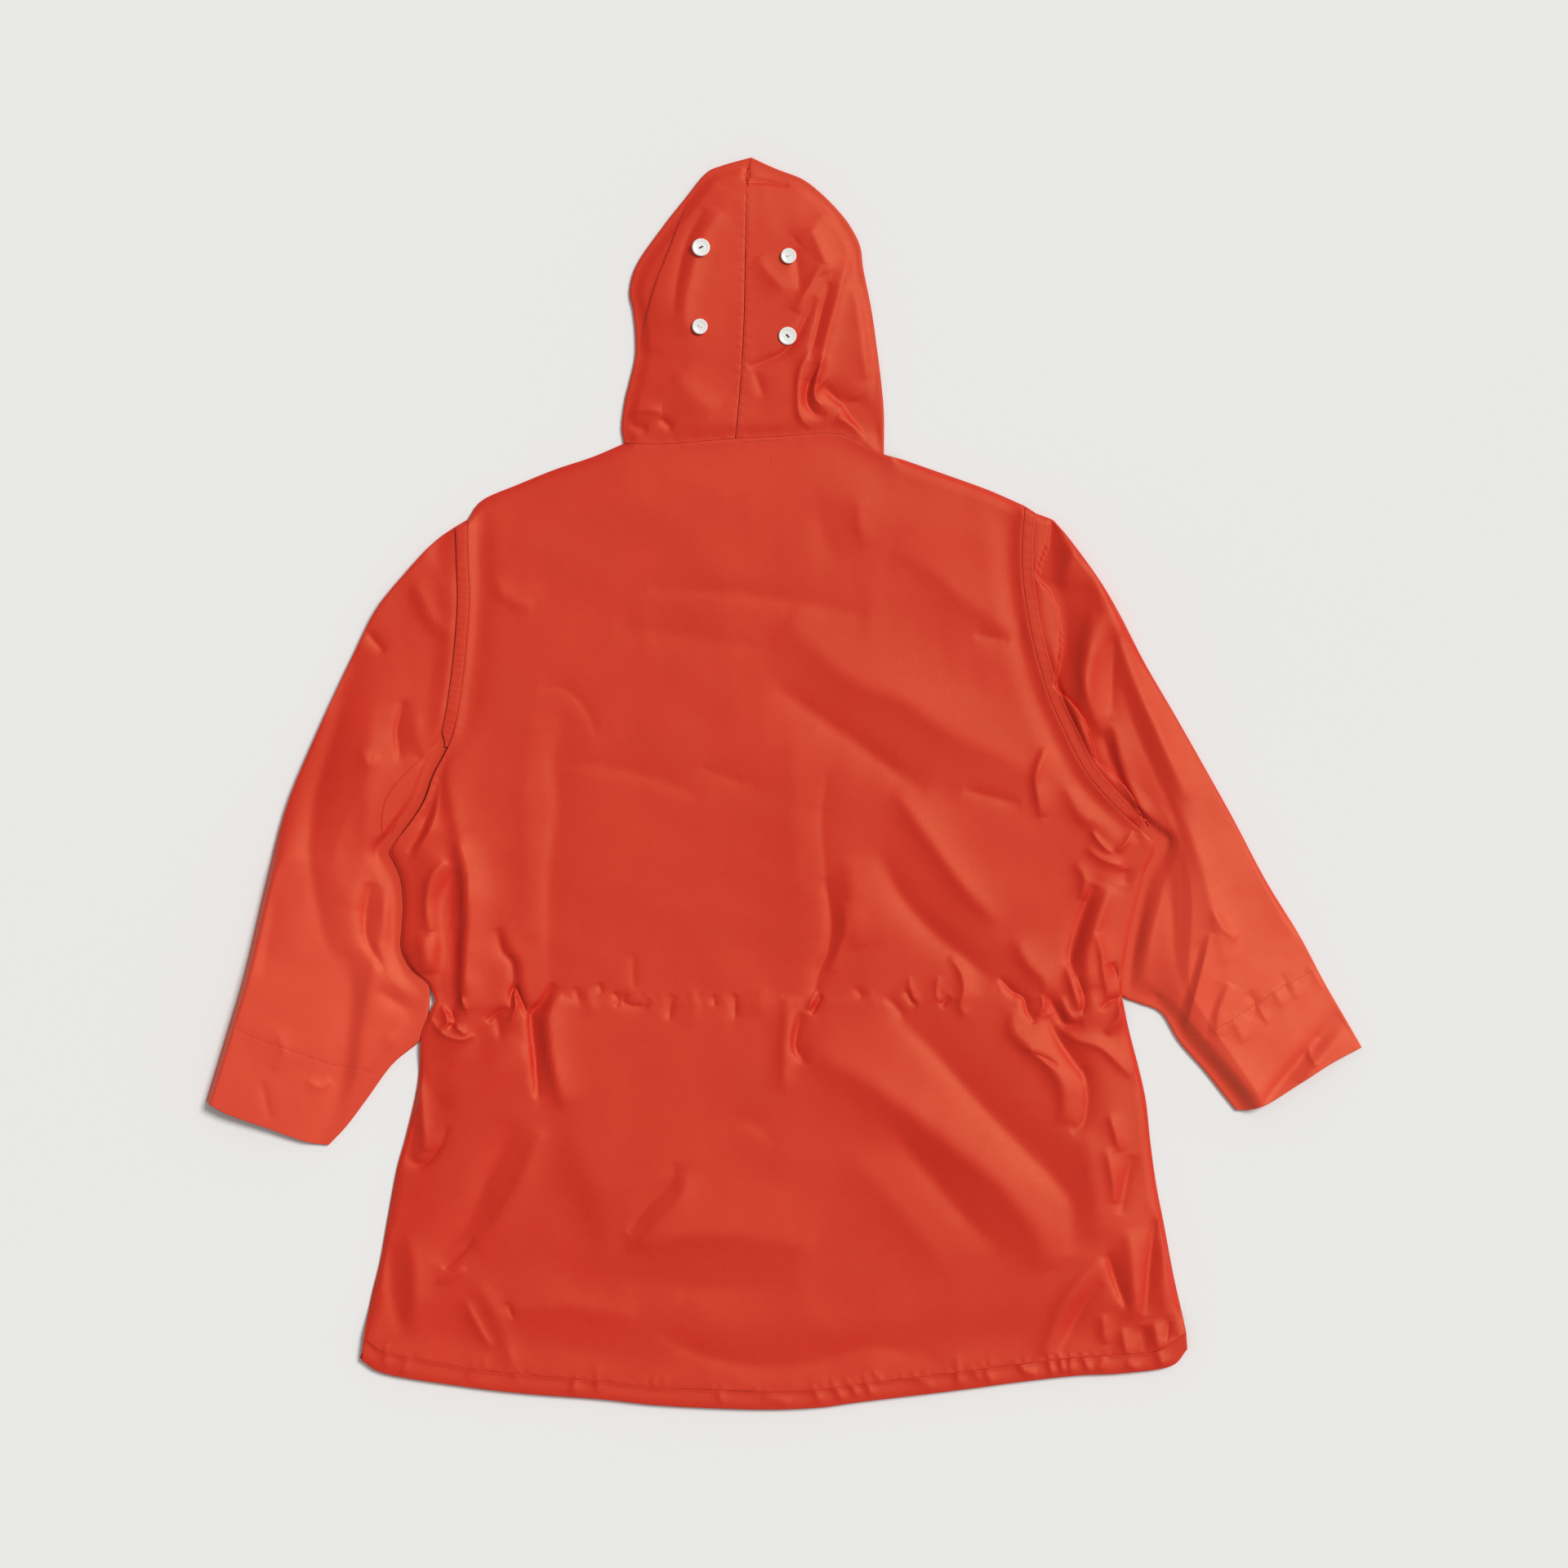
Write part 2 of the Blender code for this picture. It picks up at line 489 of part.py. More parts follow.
def sleeve_shape(arm):
    """Return the function that gives a sleeve's outside; v runs from armhole to cuff."""
    def shape(u, v):
        share, inset, lift = on_stops(u, arm.stops)
        row = v * SLEEVE_ROWS
        t = np.clip((row - 1) / (SLEEVE_ROWS - 1), 0, 1)
        width = np.linalg.norm(arm.outer(t) - arm.inner(t), axis=1)
        s = np.clip(share + inset / width, 0, 1)
        place = arm.patch(s, t)
        lead = np.clip(row, 0, 1)[:, None]
        place = np.where(lead < 1, (1 - lead) * arm.armhole(s) + lead * place, place)
        x, y = place[:, 0], place[:, 1]
        away, side, _ = nearest(x, y, arm.body_side)
        to_edge = np.minimum(s, 1 - s) * width
        covered = side * arm.outwards < 0
        clear = np.where(covered, 0.0, np.minimum(to_edge, 0.6 * away - 4))
        to_edge = np.where(y < arm.body_side[0, 1] + 26, clear, to_edge)
        puff = 1.0 + 6.5 * ease(t, 0.05, 0.5) * (1 - 0.35 * ease(t, 0.75, 1.0))
        rise = puff * np.sin(math.pi * np.clip(s, 0, 1)) ** 0.8
        rise = rise + relief(x, y, arm.folds) + step_down(x, y, arm.ledge)
        top = held_up(ROLLED + ease(to_edge, FOLD_RADIUS, 16) * rise, ROLLED - 0.3)
        return np.column_stack((x, y, np.minimum(lift, 1) * top))
    return shape


def hood_shape(seam, edge, aside):
    """Return the function for half a hood; v runs from the neck to the top."""
    def shape(u, v):
        share, inset, lift = on_stops(u, HOOD_STOPS)
        outer, inner = edge(v), seam(v)
        width = np.linalg.norm(inner - outer, axis=1)
        inwards = (inner - outer) / width[:, None]
        under = (inset - FOLD_RADIUS) * np.minimum(1, 0.8 * width / HOOD_UNDER) + FOLD_RADIUS
        inset = np.where(inset > FOLD_RADIUS, under, inset)
        depth = np.maximum(share * width + inset, 0)
        place = outer + depth[:, None] * inwards
        # the lowest rows bend to follow the neck seam
        straight = np.interp(place[:, 0], *NECK_CHORD[aside])
        bow = np.interp(place[:, 0], NECK_PATH[:, 0], NECK_PATH[:, 1]) + CURVED_GAP - straight
        place[:, 1] += bow * (1 - ease(v, 0, 0.3))
        # both halves stay on their own side of the centre seam
        keep = np.interp(place[:, 1], SEAM_PATH[:, 1], SEAM_PATH[:, 0]) + aside * GAP * 1.2
        x = np.where(aside * (place[:, 0] - keep) < 0, keep, place[:, 0])
        y = place[:, 1]
        rise = (3.5 + 3.0 * ease(v, 0.0, 0.4)) * np.sin(
            math.pi / 2 * np.clip(depth / 70, 0, 1)) + 0.5 * billow(x, y)
        rise = rise + relief(x, y, HOOD_FOLDS) + step_down(x, y, HOOD_LEDGE)
        top = held_up(ROLLED + ease(depth, FOLD_RADIUS, 14) * rise, ROLLED - 0.3)
        return np.column_stack((x, y, lift * top))
    return shape


def casing_shape(stitching, edge, depth, under, over, puckers):
    """Return the function for a doubled hem; u runs along it and v over its edge."""
    def shape(u, v):
        _, inset, lift = on_stops(v, casing_stops(depth))
        a, b = stitching(u), edge(u)
        share = (inset / (depth + CURVED_GAP))[:, None]
        place = b + share * (a - b)
        x, y = place[:, 0], place[:, 1]
        top = over + np.maximum(relief(x, y, puckers), -0.1)
        return np.column_stack((x, y, under + lift * (top - under)))
    return shape


def grid(columns, rows):
    """Return a grid of cells whose points hold their share of the sheet both ways."""
    cloth = bmesh.new()
    bmesh.ops.create_grid(cloth, x_segments=columns, y_segments=rows, size=0.5)
    bmesh.ops.translate(cloth, verts=cloth.verts, vec=(0.5, 0.5, 0.0))
    return cloth


def shares_of(points):
    """Return the two shares that grid points or cell middles hold."""
    return np.array([(p.x, p.y) for p in points]).T


def refine(cloth, shape, wanted):
    """Halve the cells whose middles are wanted, once."""
    middles = [face.calc_center_median() for face in cloth.faces]
    chosen = wanted(shape(*shares_of(middles)))
    for face, hit in zip(cloth.faces, chosen):
        face.tag = bool(hit) and len(face.verts) == 4
    edges = [edge for edge in cloth.edges if any(face.tag for face in edge.link_faces)]
    bmesh.ops.subdivide_edges(cloth, edges=edges, cuts=1, use_grid_fill=True)


def near_folds(folds, widest, reach, upper_only=False):
    """Return the test for places within reach of the crest of a fold that isn't too wide."""
    paths = [bent(fold) for fold in folds if fold.width <= widest]

    def wanted(place):
        x, y = place[:, 0], place[:, 1]
        hit = np.zeros(len(x), bool)
        for path in paths:
            hit |= nearest(x, y, path)[0] < reach
        return hit & (place[:, 2] >= ROLLED - 0.3) if upper_only else hit
    return wanted


def near_path(path, reach, upper_only=False):
    """Return the test for places within reach of a path."""
    def wanted(place):
        close = nearest(place[:, 0], place[:, 1], path)[0] < reach
        return close & (place[:, 2] >= ROLLED - 0.3) if upper_only else close
    return wanted


def cloth_material(name):
    """Return the dense orange-red cotton of one piece."""
    material = bpy.data.materials.new(name + "_cotton")
    material.use_nodes = True
    shader = material.node_tree.nodes["Principled BSDF"]
    shader.inputs["Base Color"].default_value = ORANGE_RED
    shader.inputs["Roughness"].default_value = 0.62
    shader.inputs["Metallic"].default_value = 0.0
    return material


def button_material(name):
    """Return the white plastic of a button."""
    material = bpy.data.materials.new(name + "_plastic")
    material.use_nodes = True
    shader = material.node_tree.nodes["Principled BSDF"]
    shader.inputs["Base Color"].default_value = BUTTON_WHITE
    shader.inputs["Roughness"].default_value = 0.32
    shader.inputs["Metallic"].default_value = 0.0
    return material


def add_object(name, mesh, material):
    """Put a mesh into the smock's collection with its own material."""
    mesh.materials.append(material)
    piece = bpy.data.objects.new(name, mesh)
    bpy.data.collections[NAME].objects.link(piece)
    return piece


def add_sheet(name, cloth, shape, flip=False, weld=False):
    """Shape a grid into a cloth wall whose outside is the shaped surface."""
    points = shape(*shares_of([vert.co for vert in cloth.verts]))
    for vert, point in zip(cloth.verts, points):
        vert.co = Vector(point) * MM
    if weld:
        bmesh.ops.remove_doubles(cloth, verts=cloth.verts, dist=0.00001)
    if flip:
        bmesh.ops.reverse_faces(cloth, faces=cloth.faces)
    mesh = bpy.data.meshes.new(name)
    cloth.to_mesh(mesh)
    cloth.free()
    mesh.shade_smooth()
    piece = add_object(name, mesh, cloth_material(name))
    wall = piece.modifiers.new("wall", "SOLIDIFY")
    wall.thickness = CLOTH * MM
    wall.offset = -1.0
    wall.use_rim = True
    return piece


Arm = namedtuple("Arm", "outer inner armhole patch outwards stops folds ledge body_side")


def make_arm(outer, inner, cuff, armhole, tail, body_side, outwards, folds, ledge):
    """Gather what shapes one sleeve, whose armhole ends in a tail under the body's corner."""
    hole = trace((1.0, armhole))
    corner = hole(TAIL_START)
    hidden = trace((1.0, (corner,) + tail))
    side = outwards * across(hole, np.array([TAIL_START]))[0]
    first = math.atan2(side[1], side[0])
    last = math.atan2(inner[0][1] - tail[-1][1], inner[0][0] - tail[-1][0])

    def along(share, distance):
        """Return the armhole moved out; the tail's far end moves down instead."""
        share = np.atleast_1d(np.asarray(share, float))
        seen = hole(TAIL_START * np.clip(share / SEAM_END, 0, 1))
        seen = seen + outwards * distance * across(hole, TAIL_START * np.clip(
            share / SEAM_END, 0, 1))
        end = np.clip((share - SEAM_END) / (1 - SEAM_END), 0, 1)
        turned = first - outwards * end * ((outwards * (first - last)) % (2 * math.pi))
        lead = np.stack((np.cos(turned), np.sin(turned)), axis=-1)
        return np.where(share[:, None] < SEAM_END, seen, hidden(end) + distance * lead)

    def start(share):
        """Return the sleeve's first row past the seam band."""
        return along(share, CURVED_GAP + BAND)

    def seam(share):
        """Return the sleeve's edge at the seam."""
        return along(share, CURVED_GAP)
    outer_edge = trace((1.0, (tuple(start(0.0)[0]),) + outer[1:]))
    inner_edge = trace((1.0, (tuple(start(1.0)[0]),) + inner[1:]))
    end = trace((1.0, cuff))
    hang = outwards * across(end, np.array([0.5]))[0]

    def fan(share, t):
        """Return the lengthwise lines that leave the seam squarely and turn to the cuff."""
        a, b, t = start(share), end(share), t[:, None]
        reach = np.linalg.norm(b - a, axis=1, keepdims=True)
        out = reach * (seam(share) - along(share, CURVED_GAP - 1))
        return ((1 + 2 * t) * (1 - t) ** 2 * a + 0.42 * t * (1 - t) ** 2 * out
                + t * t * (3 - 2 * t) * b - 0.9 * t * t * (1 - t) * reach * hang)

    def surface(share, t):
        """Return the sleeve's places, drawn onto its outer and inner edges."""
        near = fan(share, t)
        on_outer = outer_edge(t) - fan(0 * share, t)
        on_inner = inner_edge(t) - fan(0 * share + 1, t)
        hold = share ** (4 + 10 * (1 - ease(t, 0, 0.5)))
        return near + ((1 - share) ** 2)[:, None] * on_outer + hold[:, None] * on_inner
    return Arm(outer_edge, inner_edge, seam, relaxed(surface), outwards,
               tube_stops(SLEEVE_COLUMNS, 6), folds, ledge, smooth(body_side, COVER_STEPS // 8))


BACK_PATCH = patch(
    trace((1.0, HEM_STITCHING)),
    trace((COLUMN_SHARES[NECK_LEFT_COLUMN], SHOULDER_LEFT),
          (COLUMN_SHARES[NECK_RIGHT_COLUMN], NECK), (1.0, SHOULDER_RIGHT)),
    trace((ROW_SHARES[WAIST_ROW], SKIRT_LEFT[::-1]),
          (ROW_SHARES[UNDERARM_ROW], SIDE_LEFT[::-1]), (1.0, ARMHOLE_LEFT[::-1])),
    trace((ROW_SHARES[WAIST_ROW], SKIRT_RIGHT[::-1]),
          (ROW_SHARES[UNDERARM_ROW], SIDE_RIGHT[::-1]), (1.0, ARMHOLE_RIGHT[::-1])))
FRONT_PATCH = patch(
    trace((1.0, FRONT_STITCHING)),
    trace((3 / FRONT_COLUMNS, ((-276, 226), (-264, 244), (-202, 270), (-137, 294))),
          (11 / FRONT_COLUMNS, FRONT_NECKLINE),
          (1.0, ((100, 281), (144, 265), (180, 252), (209, 238)))),
    trace((5 / FRONT_ROWS, FRONT_SKIRT_LEFT[::-1]), (9 / FRONT_ROWS, FRONT_SIDE_LEFT[::-1]),
          (1.0, FRONT_ARMHOLE_LEFT[::-1])),
    trace((5 / FRONT_ROWS, FRONT_SKIRT_RIGHT[::-1]), (9 / FRONT_ROWS, FRONT_SIDE_RIGHT[::-1]),
          (1.0, FRONT_ARMHOLE_RIGHT[::-1])))
LEFT_ARM = make_arm(SLEEVE_OUTER_LEFT, SLEEVE_INNER_LEFT, CUFF_LEFT, ARMHOLE_LEFT,
                    SLEEVE_TAIL_LEFT, SIDE_LEFT + SKIRT_LEFT[1:], -1, SLEEVE_FOLDS_LEFT,
                    FLAP_LEDGE)
RIGHT_ARM = make_arm(SLEEVE_OUTER_RIGHT, SLEEVE_INNER_RIGHT, CUFF_RIGHT, ARMHOLE_RIGHT,
                     SLEEVE_TAIL_RIGHT, SIDE_RIGHT + SKIRT_RIGHT[1:], 1, SLEEVE_FOLDS_RIGHT,
                     PUFF_LEDGE)
HOOD_STOPS = hood_stops(HOOD_COLUMNS, 3)
SEAM_PATH = smooth(HOOD_SEAM + ((-29, 551),))
NECK_PATH = smooth(NECK)
NECK_CHORD = {-1: ((-141, -43), (300, 303)), 1: ((-43, 88), (303, 291))}


def add_back():
    """Make the back panel, with finer cells at its folds and gathers."""
    cloth = grid(BACK_COLUMNS, BACK_ROWS)
    for edge in (ARMHOLE_LEFT, ARMHOLE_RIGHT, NECK):
        refine(cloth, back_shape, near_path(smooth(edge, 4), 6))
    creased = BACK_FOLDS + gathered(WAIST_GATHERS, 4)
    refine(cloth, back_shape, near_folds(creased, 12, 12))
    refine(cloth, back_shape, near_folds(creased, 8, 5))
    return add_sheet("back_panel", cloth, back_shape)


def add_front():
    """Make the front panel, flat under the back."""
    return add_sheet("front_panel", grid(FRONT_COLUMNS, FRONT_ROWS), front_shape, flip=True)


def add_sleeve(name, arm, flip):
    """Make one sleeve as a flattened tube, open at the armhole and at the cuff."""
    shape = sleeve_shape(arm)
    cloth = grid(len(arm.stops) - 1, SLEEVE_ROWS)
    refine(cloth, shape, near_path(arm.armhole(np.linspace(0, 1, 40)), 6))
    refine(cloth, shape, near_path(arm.body_side[:COVER_STEPS], 13, upper_only=True))
    refine(cloth, shape, near_folds(arm.folds, 10, 8, upper_only=True))
    return add_sheet(name, cloth, shape, flip=flip, weld=True)


def add_seam_band(name, arm, until, flip):
    """Make a lapped seam from the sleeve's own first row, moved out over it."""
    shape = sleeve_shape(arm)
    shares = np.linspace(0, 1, len(arm.stops))
    first = 2
    columns = round(SLEEVE_COLUMNS * until)

    def over(u, v):
        column = shares[first] + u * (shares[first + columns] - shares[first])
        place = shape(column, v * 0.96 / SLEEVE_ROWS)
        place[:, 2] += GAP + CLOTH + 0.2
        return place
    return add_sheet(name, grid(columns * 2, 2), over, flip=flip)


def add_hood(name, edge, seam, aside, flip):
    """Make half of the hood, rolled round at its side to the face opening below."""
    shape = hood_shape(trace((1.0, seam)), trace((1.0, edge)), aside)
    cloth = grid(len(HOOD_STOPS) - 1, HOOD_ROWS)
    refine(cloth, shape, near_folds(HOOD_FOLDS, 9, 8, upper_only=True))
    return add_sheet(name, cloth, shape, flip=flip)


def add_casing(name, stitching, edge, depth, under, over, puckers, columns, flip):
    """Make a doubled hem with its cord channel."""
    shape = casing_shape(trace((1.0, stitching)), trace((1.0, edge)), depth, under, over,
                         puckers)
    cloth = grid(columns, len(casing_stops(depth)) - 1)
    return add_sheet(name, cloth, shape, flip=flip)


def button_mesh(diameter):
    """Return a button's turned profile, from its dished middle out and round to its back."""
    radius, top = diameter / 2, BUTTON_THICK
    profile = ((0.0, top - BUTTON_DISH), (radius - 2 * BUTTON_RIM, top - BUTTON_DISH),
               (radius - BUTTON_RIM, top), (radius - 0.5, top), (radius, top - 0.7),
               (radius, 0.7), (radius - 0.6, 0.0), (0.0, 0.0))
    outline = bmesh.new()
    verts = [outline.verts.new((x * MM, 0.0, z * MM)) for x, z in profile]
    for a, b in zip(verts, verts[1:]):
        outline.edges.new((a, b))
    mesh = bpy.data.meshes.new("button_profile")
    outline.to_mesh(mesh)
    outline.free()
    return mesh


def seat_on(cloths, button):
    """Return where a button rests on the cloth and the direction that it faces."""
    trees = [surface_of(cloth) for cloth in cloths]
    reach = (button.diameter / 2 + BUTTON_MARGIN) * MM
    middle = Vector((button.x * MM, button.y * MM, 0.0))
    spots = []
    for ring in (0.0, 0.5, 1.0):
        for k in range(12):
            angle = 2 * math.pi * k / 12
            spots.append(middle + ring * reach * Vector((math.cos(angle), math.sin(angle), 0)))
    hits = []
    for spot in spots:
        found = [tree.ray_cast(spot + Vector((0, 0, 0.2)), Vector((0, 0, -1)))[0]
                 for tree in trees]
        found = [hit for hit in found if hit is not None]
        if found:
            hits.append(max(found, key=lambda hit: hit.z))
    place = np.array(hits)
    flat = np.column_stack((place[:, :2], np.ones(len(place))))
    slope = np.linalg.lstsq(flat, place[:, 2], rcond=None)[0]
    faces = Vector((-slope[0], -slope[1], 1.0)).normalized()
    seat = Vector((middle.x, middle.y, slope[0] * middle.x + slope[1] * middle.y + slope[2]))
    highest = max((hit - seat).dot(faces) for hit in hits)
    return seat + faces * (highest + GAP * MM), faces


def surface_of(piece):
    """Return a search tree of an object's finished surface."""
    graph = bpy.context.evaluated_depsgraph_get()
    return BVHTree.FromObject(piece, graph)


def add_buttons(cloths):
    """Sew the four buttons on the hood."""
    for number, button in enumerate(BUTTONS, 1):
        name = f"hood_button_{number}"
        piece = add_object(name, button_mesh(button.diameter), button_material(name))
        turned = piece.modifiers.new("turned", "SCREW")
        turned.steps = turned.render_steps = BUTTON_SIDES
        turned.use_merge_vertices = True
        turned.merge_threshold = 0.00001
        place, faces = seat_on(cloths, button)
        piece.location = place
        piece.rotation_euler = faces.to_track_quat("Z", "Y").to_euler()


def main():
    """Build the smock from its lowest layer up."""
    for old in list(bpy.data.objects):
        bpy.data.objects.remove(old)
    bpy.context.scene.collection.children.link(bpy.data.collections.new(NAME))
    add_front()
    add_back()
    add_sleeve("sleeve_left", LEFT_ARM, flip=True)
    add_sleeve("sleeve_right", RIGHT_ARM, flip=False)
    add_seam_band("armhole_seam_left", LEFT_ARM, SEAM_SHARE_LEFT, flip=True)
    add_seam_band("armhole_seam_right", RIGHT_ARM, SEAM_END, flip=False)
    halves = (add_hood("hood_left", HOOD_EDGE_LEFT, HOOD_SEAM, -1, flip=True),
              add_hood("hood_right", HOOD_EDGE_RIGHT, HOOD_SEAM, 1, flip=False))
    add_casing("hem_casing_front", FRONT_STITCHING, FRONT_HEM, 18, 0.0, CASING_HEIGHT, (), 24,
               flip=True)
    add_casing("hem_casing_back", HEM_STITCHING, HEM, 16, CASING_HEIGHT + CASING_GAP, HEM_TOP,
               gathered(HEM_PUCKERS, 2), 56, flip=True)
    bpy.context.view_layer.update()
    add_buttons(halves)


main()
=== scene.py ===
"""The looks of a hooded pullover smock in dense orange-red cotton, laid flat with its back up.

Frame: +X to the right of the back as seen from above, +Y from the hem to the hood, +Z up, and
the smock lies on z = 0. The tables and the shapes are in millimetres; a mesh is turned into
metres when it is shaped.
"""

import logging
import math
from collections.abc import Callable, Sequence
from dataclasses import dataclass, field, replace
from enum import Enum

import bmesh
import bpy
import numpy as np
from mathutils import Matrix, Vector
from mathutils.bvhtree import BVHTree


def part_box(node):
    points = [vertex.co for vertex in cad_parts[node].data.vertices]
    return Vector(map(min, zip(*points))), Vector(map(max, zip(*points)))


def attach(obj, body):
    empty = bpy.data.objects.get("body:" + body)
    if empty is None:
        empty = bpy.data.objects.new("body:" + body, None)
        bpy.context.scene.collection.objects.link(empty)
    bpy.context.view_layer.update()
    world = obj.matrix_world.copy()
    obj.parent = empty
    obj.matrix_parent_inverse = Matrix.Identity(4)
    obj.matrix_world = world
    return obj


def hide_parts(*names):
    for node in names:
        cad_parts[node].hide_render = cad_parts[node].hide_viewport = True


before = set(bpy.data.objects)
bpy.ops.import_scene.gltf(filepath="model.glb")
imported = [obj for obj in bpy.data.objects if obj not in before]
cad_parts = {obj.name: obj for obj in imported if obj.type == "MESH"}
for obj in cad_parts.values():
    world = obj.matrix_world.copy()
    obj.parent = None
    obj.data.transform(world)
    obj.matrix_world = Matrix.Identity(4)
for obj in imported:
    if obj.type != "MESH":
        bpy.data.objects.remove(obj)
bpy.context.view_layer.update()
LOG = logging.getLogger("smock")

Array = np.ndarray
Mesh = bpy.types.Mesh
Piece = bpy.types.Object
Solid = bmesh.types.BMesh
Material = bpy.types.Material
Tree = bpy.types.NodeTree
Node = bpy.types.Node
Socket = bpy.types.NodeSocket
Span = tuple[float, float]
Row = tuple[float, ...]
Points = tuple[Span, ...]
Colour = tuple[float, float, float, float]
Curve = Callable[[Array], Array]
Shape = Callable[[Array, Array], Array]

MM = 0.001  # metres in a millimetre
FLOAT, VECTOR, COLOUR = "NodeSocketFloat", "NodeSocketVector", "NodeSocketColor"

# ---- cloth, as in the solids
CLOTH = 1.2  # wall of every cloth piece
GAP = 0.3  # clearance at a seam and between layers that touch
CURVED_GAP = 0.5  # the same along a curved seam
FOLD_RADIUS = 1.7  # outside of the roll where a layer turns back under itself
ROLLED = 2 * FOLD_RADIUS  # height of the upper layer beside such a roll
LEAST = ROLLED - 0.3  # height that an upper layer with rolled edges keeps
LAID = 3.4  # usual height of an upper layer over the layer below it
LOWEST = 2 * CLOTH + GAP + 0.1  # an upper layer's outside is never lower than this
BODY_WIDTH = 640.0  # of the back panel, for distances from its sides
BODY_LENGTH = 780.0  # of the back panel, for distances from its hem and shoulders
BAND = 10.0  # lapped armhole seam
SIDE_TURN = 5.0  # the back's edge turns down over the front's within this
CASING_HEIGHT = 3.0  # a doubled hem with its cord, from under to over
CASING_GAP = 0.3  # between the front's casing and the back's
HEM_TOP = 2 * CASING_HEIGHT + CASING_GAP
HEM_CLIMB = 34.0  # how far above the hem stitching the back starts to climb on it
BAND_TOP = 5.3  # height of the cloth on both sides of an armhole seam
SEAM_LIFT = 2.4  # how far sleeve and body rise over that along the armhole
NECK_TOP = 5.4  # height of the cloth on both sides of the neck seam
LEVEL_REACH = 7.0  # how far from a seam the back is held at the seam's height
SEWN_GAP = 0.15  # between the looks of two pieces that are sewn together
ROUNDING = 0.17  # of a fold's crest, as a share of its width
PALING_REACH = 12.0  # how far from a seam its paler strip is looked for
PALING_WIDTH = 3.5  # of the paler strip along a seam
SEAM_PALING = 0.15  # of that strip, as a share of the full paler colour
RIM = (0.0, 0.7, 1.6, 2.9)  # rows of cells at a wall's rounded edge, from the edge
PAST_RIM = 5.0  # where even rows start
SLEEVE_LENGTH = 420.0  # for distances from a cuff
HOOD_LENGTH = 250.0  # for distances from the neck seam
DROP_HEIGHT = 0.2  # metres above the table, from where stitches are laid down
# the unevenness of worn cotton: the turn in radians, the pitch and the rise of each wave
RUMPLES = ((0.5, 26, 0.6), (1.75, 19, 0.42), (2.6, 11, 0.2), (1.1, 6.5, 0.07))

# ---- outlines, as points (x, y) that a smooth curve passes through
SHOULDER_LEFT = ((-279, 232), (-266, 249), (-234, 263), (-202, 276), (-169, 287), (-141, 299))
NECK = ((-141, 299), (-107, 298), (-43, 303), (0, 305), (35, 308), (58, 304), (86, 290), (104, 285))
SHOULDER_RIGHT = ((104, 285), (144, 271), (180, 258), (212, 244))
ARMHOLE_LEFT = (
    (-279, 232), (-278, 193), (-277, 164), (-279, 128), (-284, 82), (-292, 40), (-308, 7),
    (-319, -21), (-348, -61))
ARMHOLE_RIGHT = (
    (212, 244), (209, 203), (212, 163), (220, 121), (233, 77), (247, 45), (266, 9), (289, -18),
    (308, -36), (328, -53))
SIDE_LEFT = (
    (-348, -61), (-338, -82), (-335, -105), (-336, -127), (-337, -146), (-328, -164), (-313, -177),
    (-307, -192))
SIDE_RIGHT = (
    (328, -53), (324, -66), (318, -77), (313, -95), (307, -119), (302, -142), (299, -167),
    (298, -190))
SKIRT_LEFT = (
    (-307, -192), (-312, -203), (-318, -217), (-320, -228), (-323, -267), (-333, -311),
    (-341, -340), (-349, -383), (-356, -422), (-364, -455), (-370, -489))
SKIRT_RIGHT = (
    (298, -190), (302, -210), (307, -230), (313, -253), (319, -281), (323, -318), (328, -354),
    (335, -390), (343, -433), (351, -469), (354, -484))
HEM_STITCHING = (
    (-370, -489), (-349, -502), (-280, -515), (-228, -521), (-161, -527), (-114, -532),
    (-59, -534), (-8, -536), (33, -534), (70, -529), (153, -519), (205, -512), (258, -506),
    (298, -503), (328, -500), (354, -484))
HEM = (
    (-372, -509), (-349, -521), (-280, -532), (-228, -538), (-161, -543), (-114, -548),
    (-59, -551), (-8, -552), (33, -550), (70, -545), (153, -535), (205, -528), (258, -522),
    (298, -520), (340, -514), (355, -499))

SLEEVE_OUTER_LEFT = (
    (-288, 230), (-310, 211), (-338, 180), (-359, 154), (-377, 118), (-396, 78), (-418, 29),
    (-439, -23), (-457, -91), (-475, -167), (-491, -221), (-509, -280))
SLEEVE_TAIL_LEFT = ((-335, -62), (-326, -80), (-313, -94))  # under the back's corner
SLEEVE_INNER_LEFT = (
    (-309, -104), (-309, -126), (-309, -148), (-311, -170), (-312, -190), (-313, -204),
    (-316, -218), (-321, -228), (-345, -248), (-367, -278), (-385, -302), (-401, -319))
CUFF_LEFT = ((-509, -280), (-490, -291), (-454, -304), (-421, -316), (-401, -319))
SLEEVE_OUTER_RIGHT = (
    (222, 243), (238, 231), (273, 186), (295, 150), (317, 107), (342, 64), (367, 20), (396, -32),
    (425, -87), (454, -134), (475, -174), (493, -205), (509, -233))
SLEEVE_TAIL_RIGHT = ((312, -55), (304, -73), (292, -88))
SLEEVE_INNER_RIGHT = (
    (288, -98), (285, -120), (284, -146), (286, -165), (291, -179), (299, -189), (315, -195),
    (333, -203), (348, -228), (370, -253), (385, -272), (398, -288))
CUFF_RIGHT = ((509, -233), (482, -247), (455, -264), (426, -282), (409, -288), (398, -288))

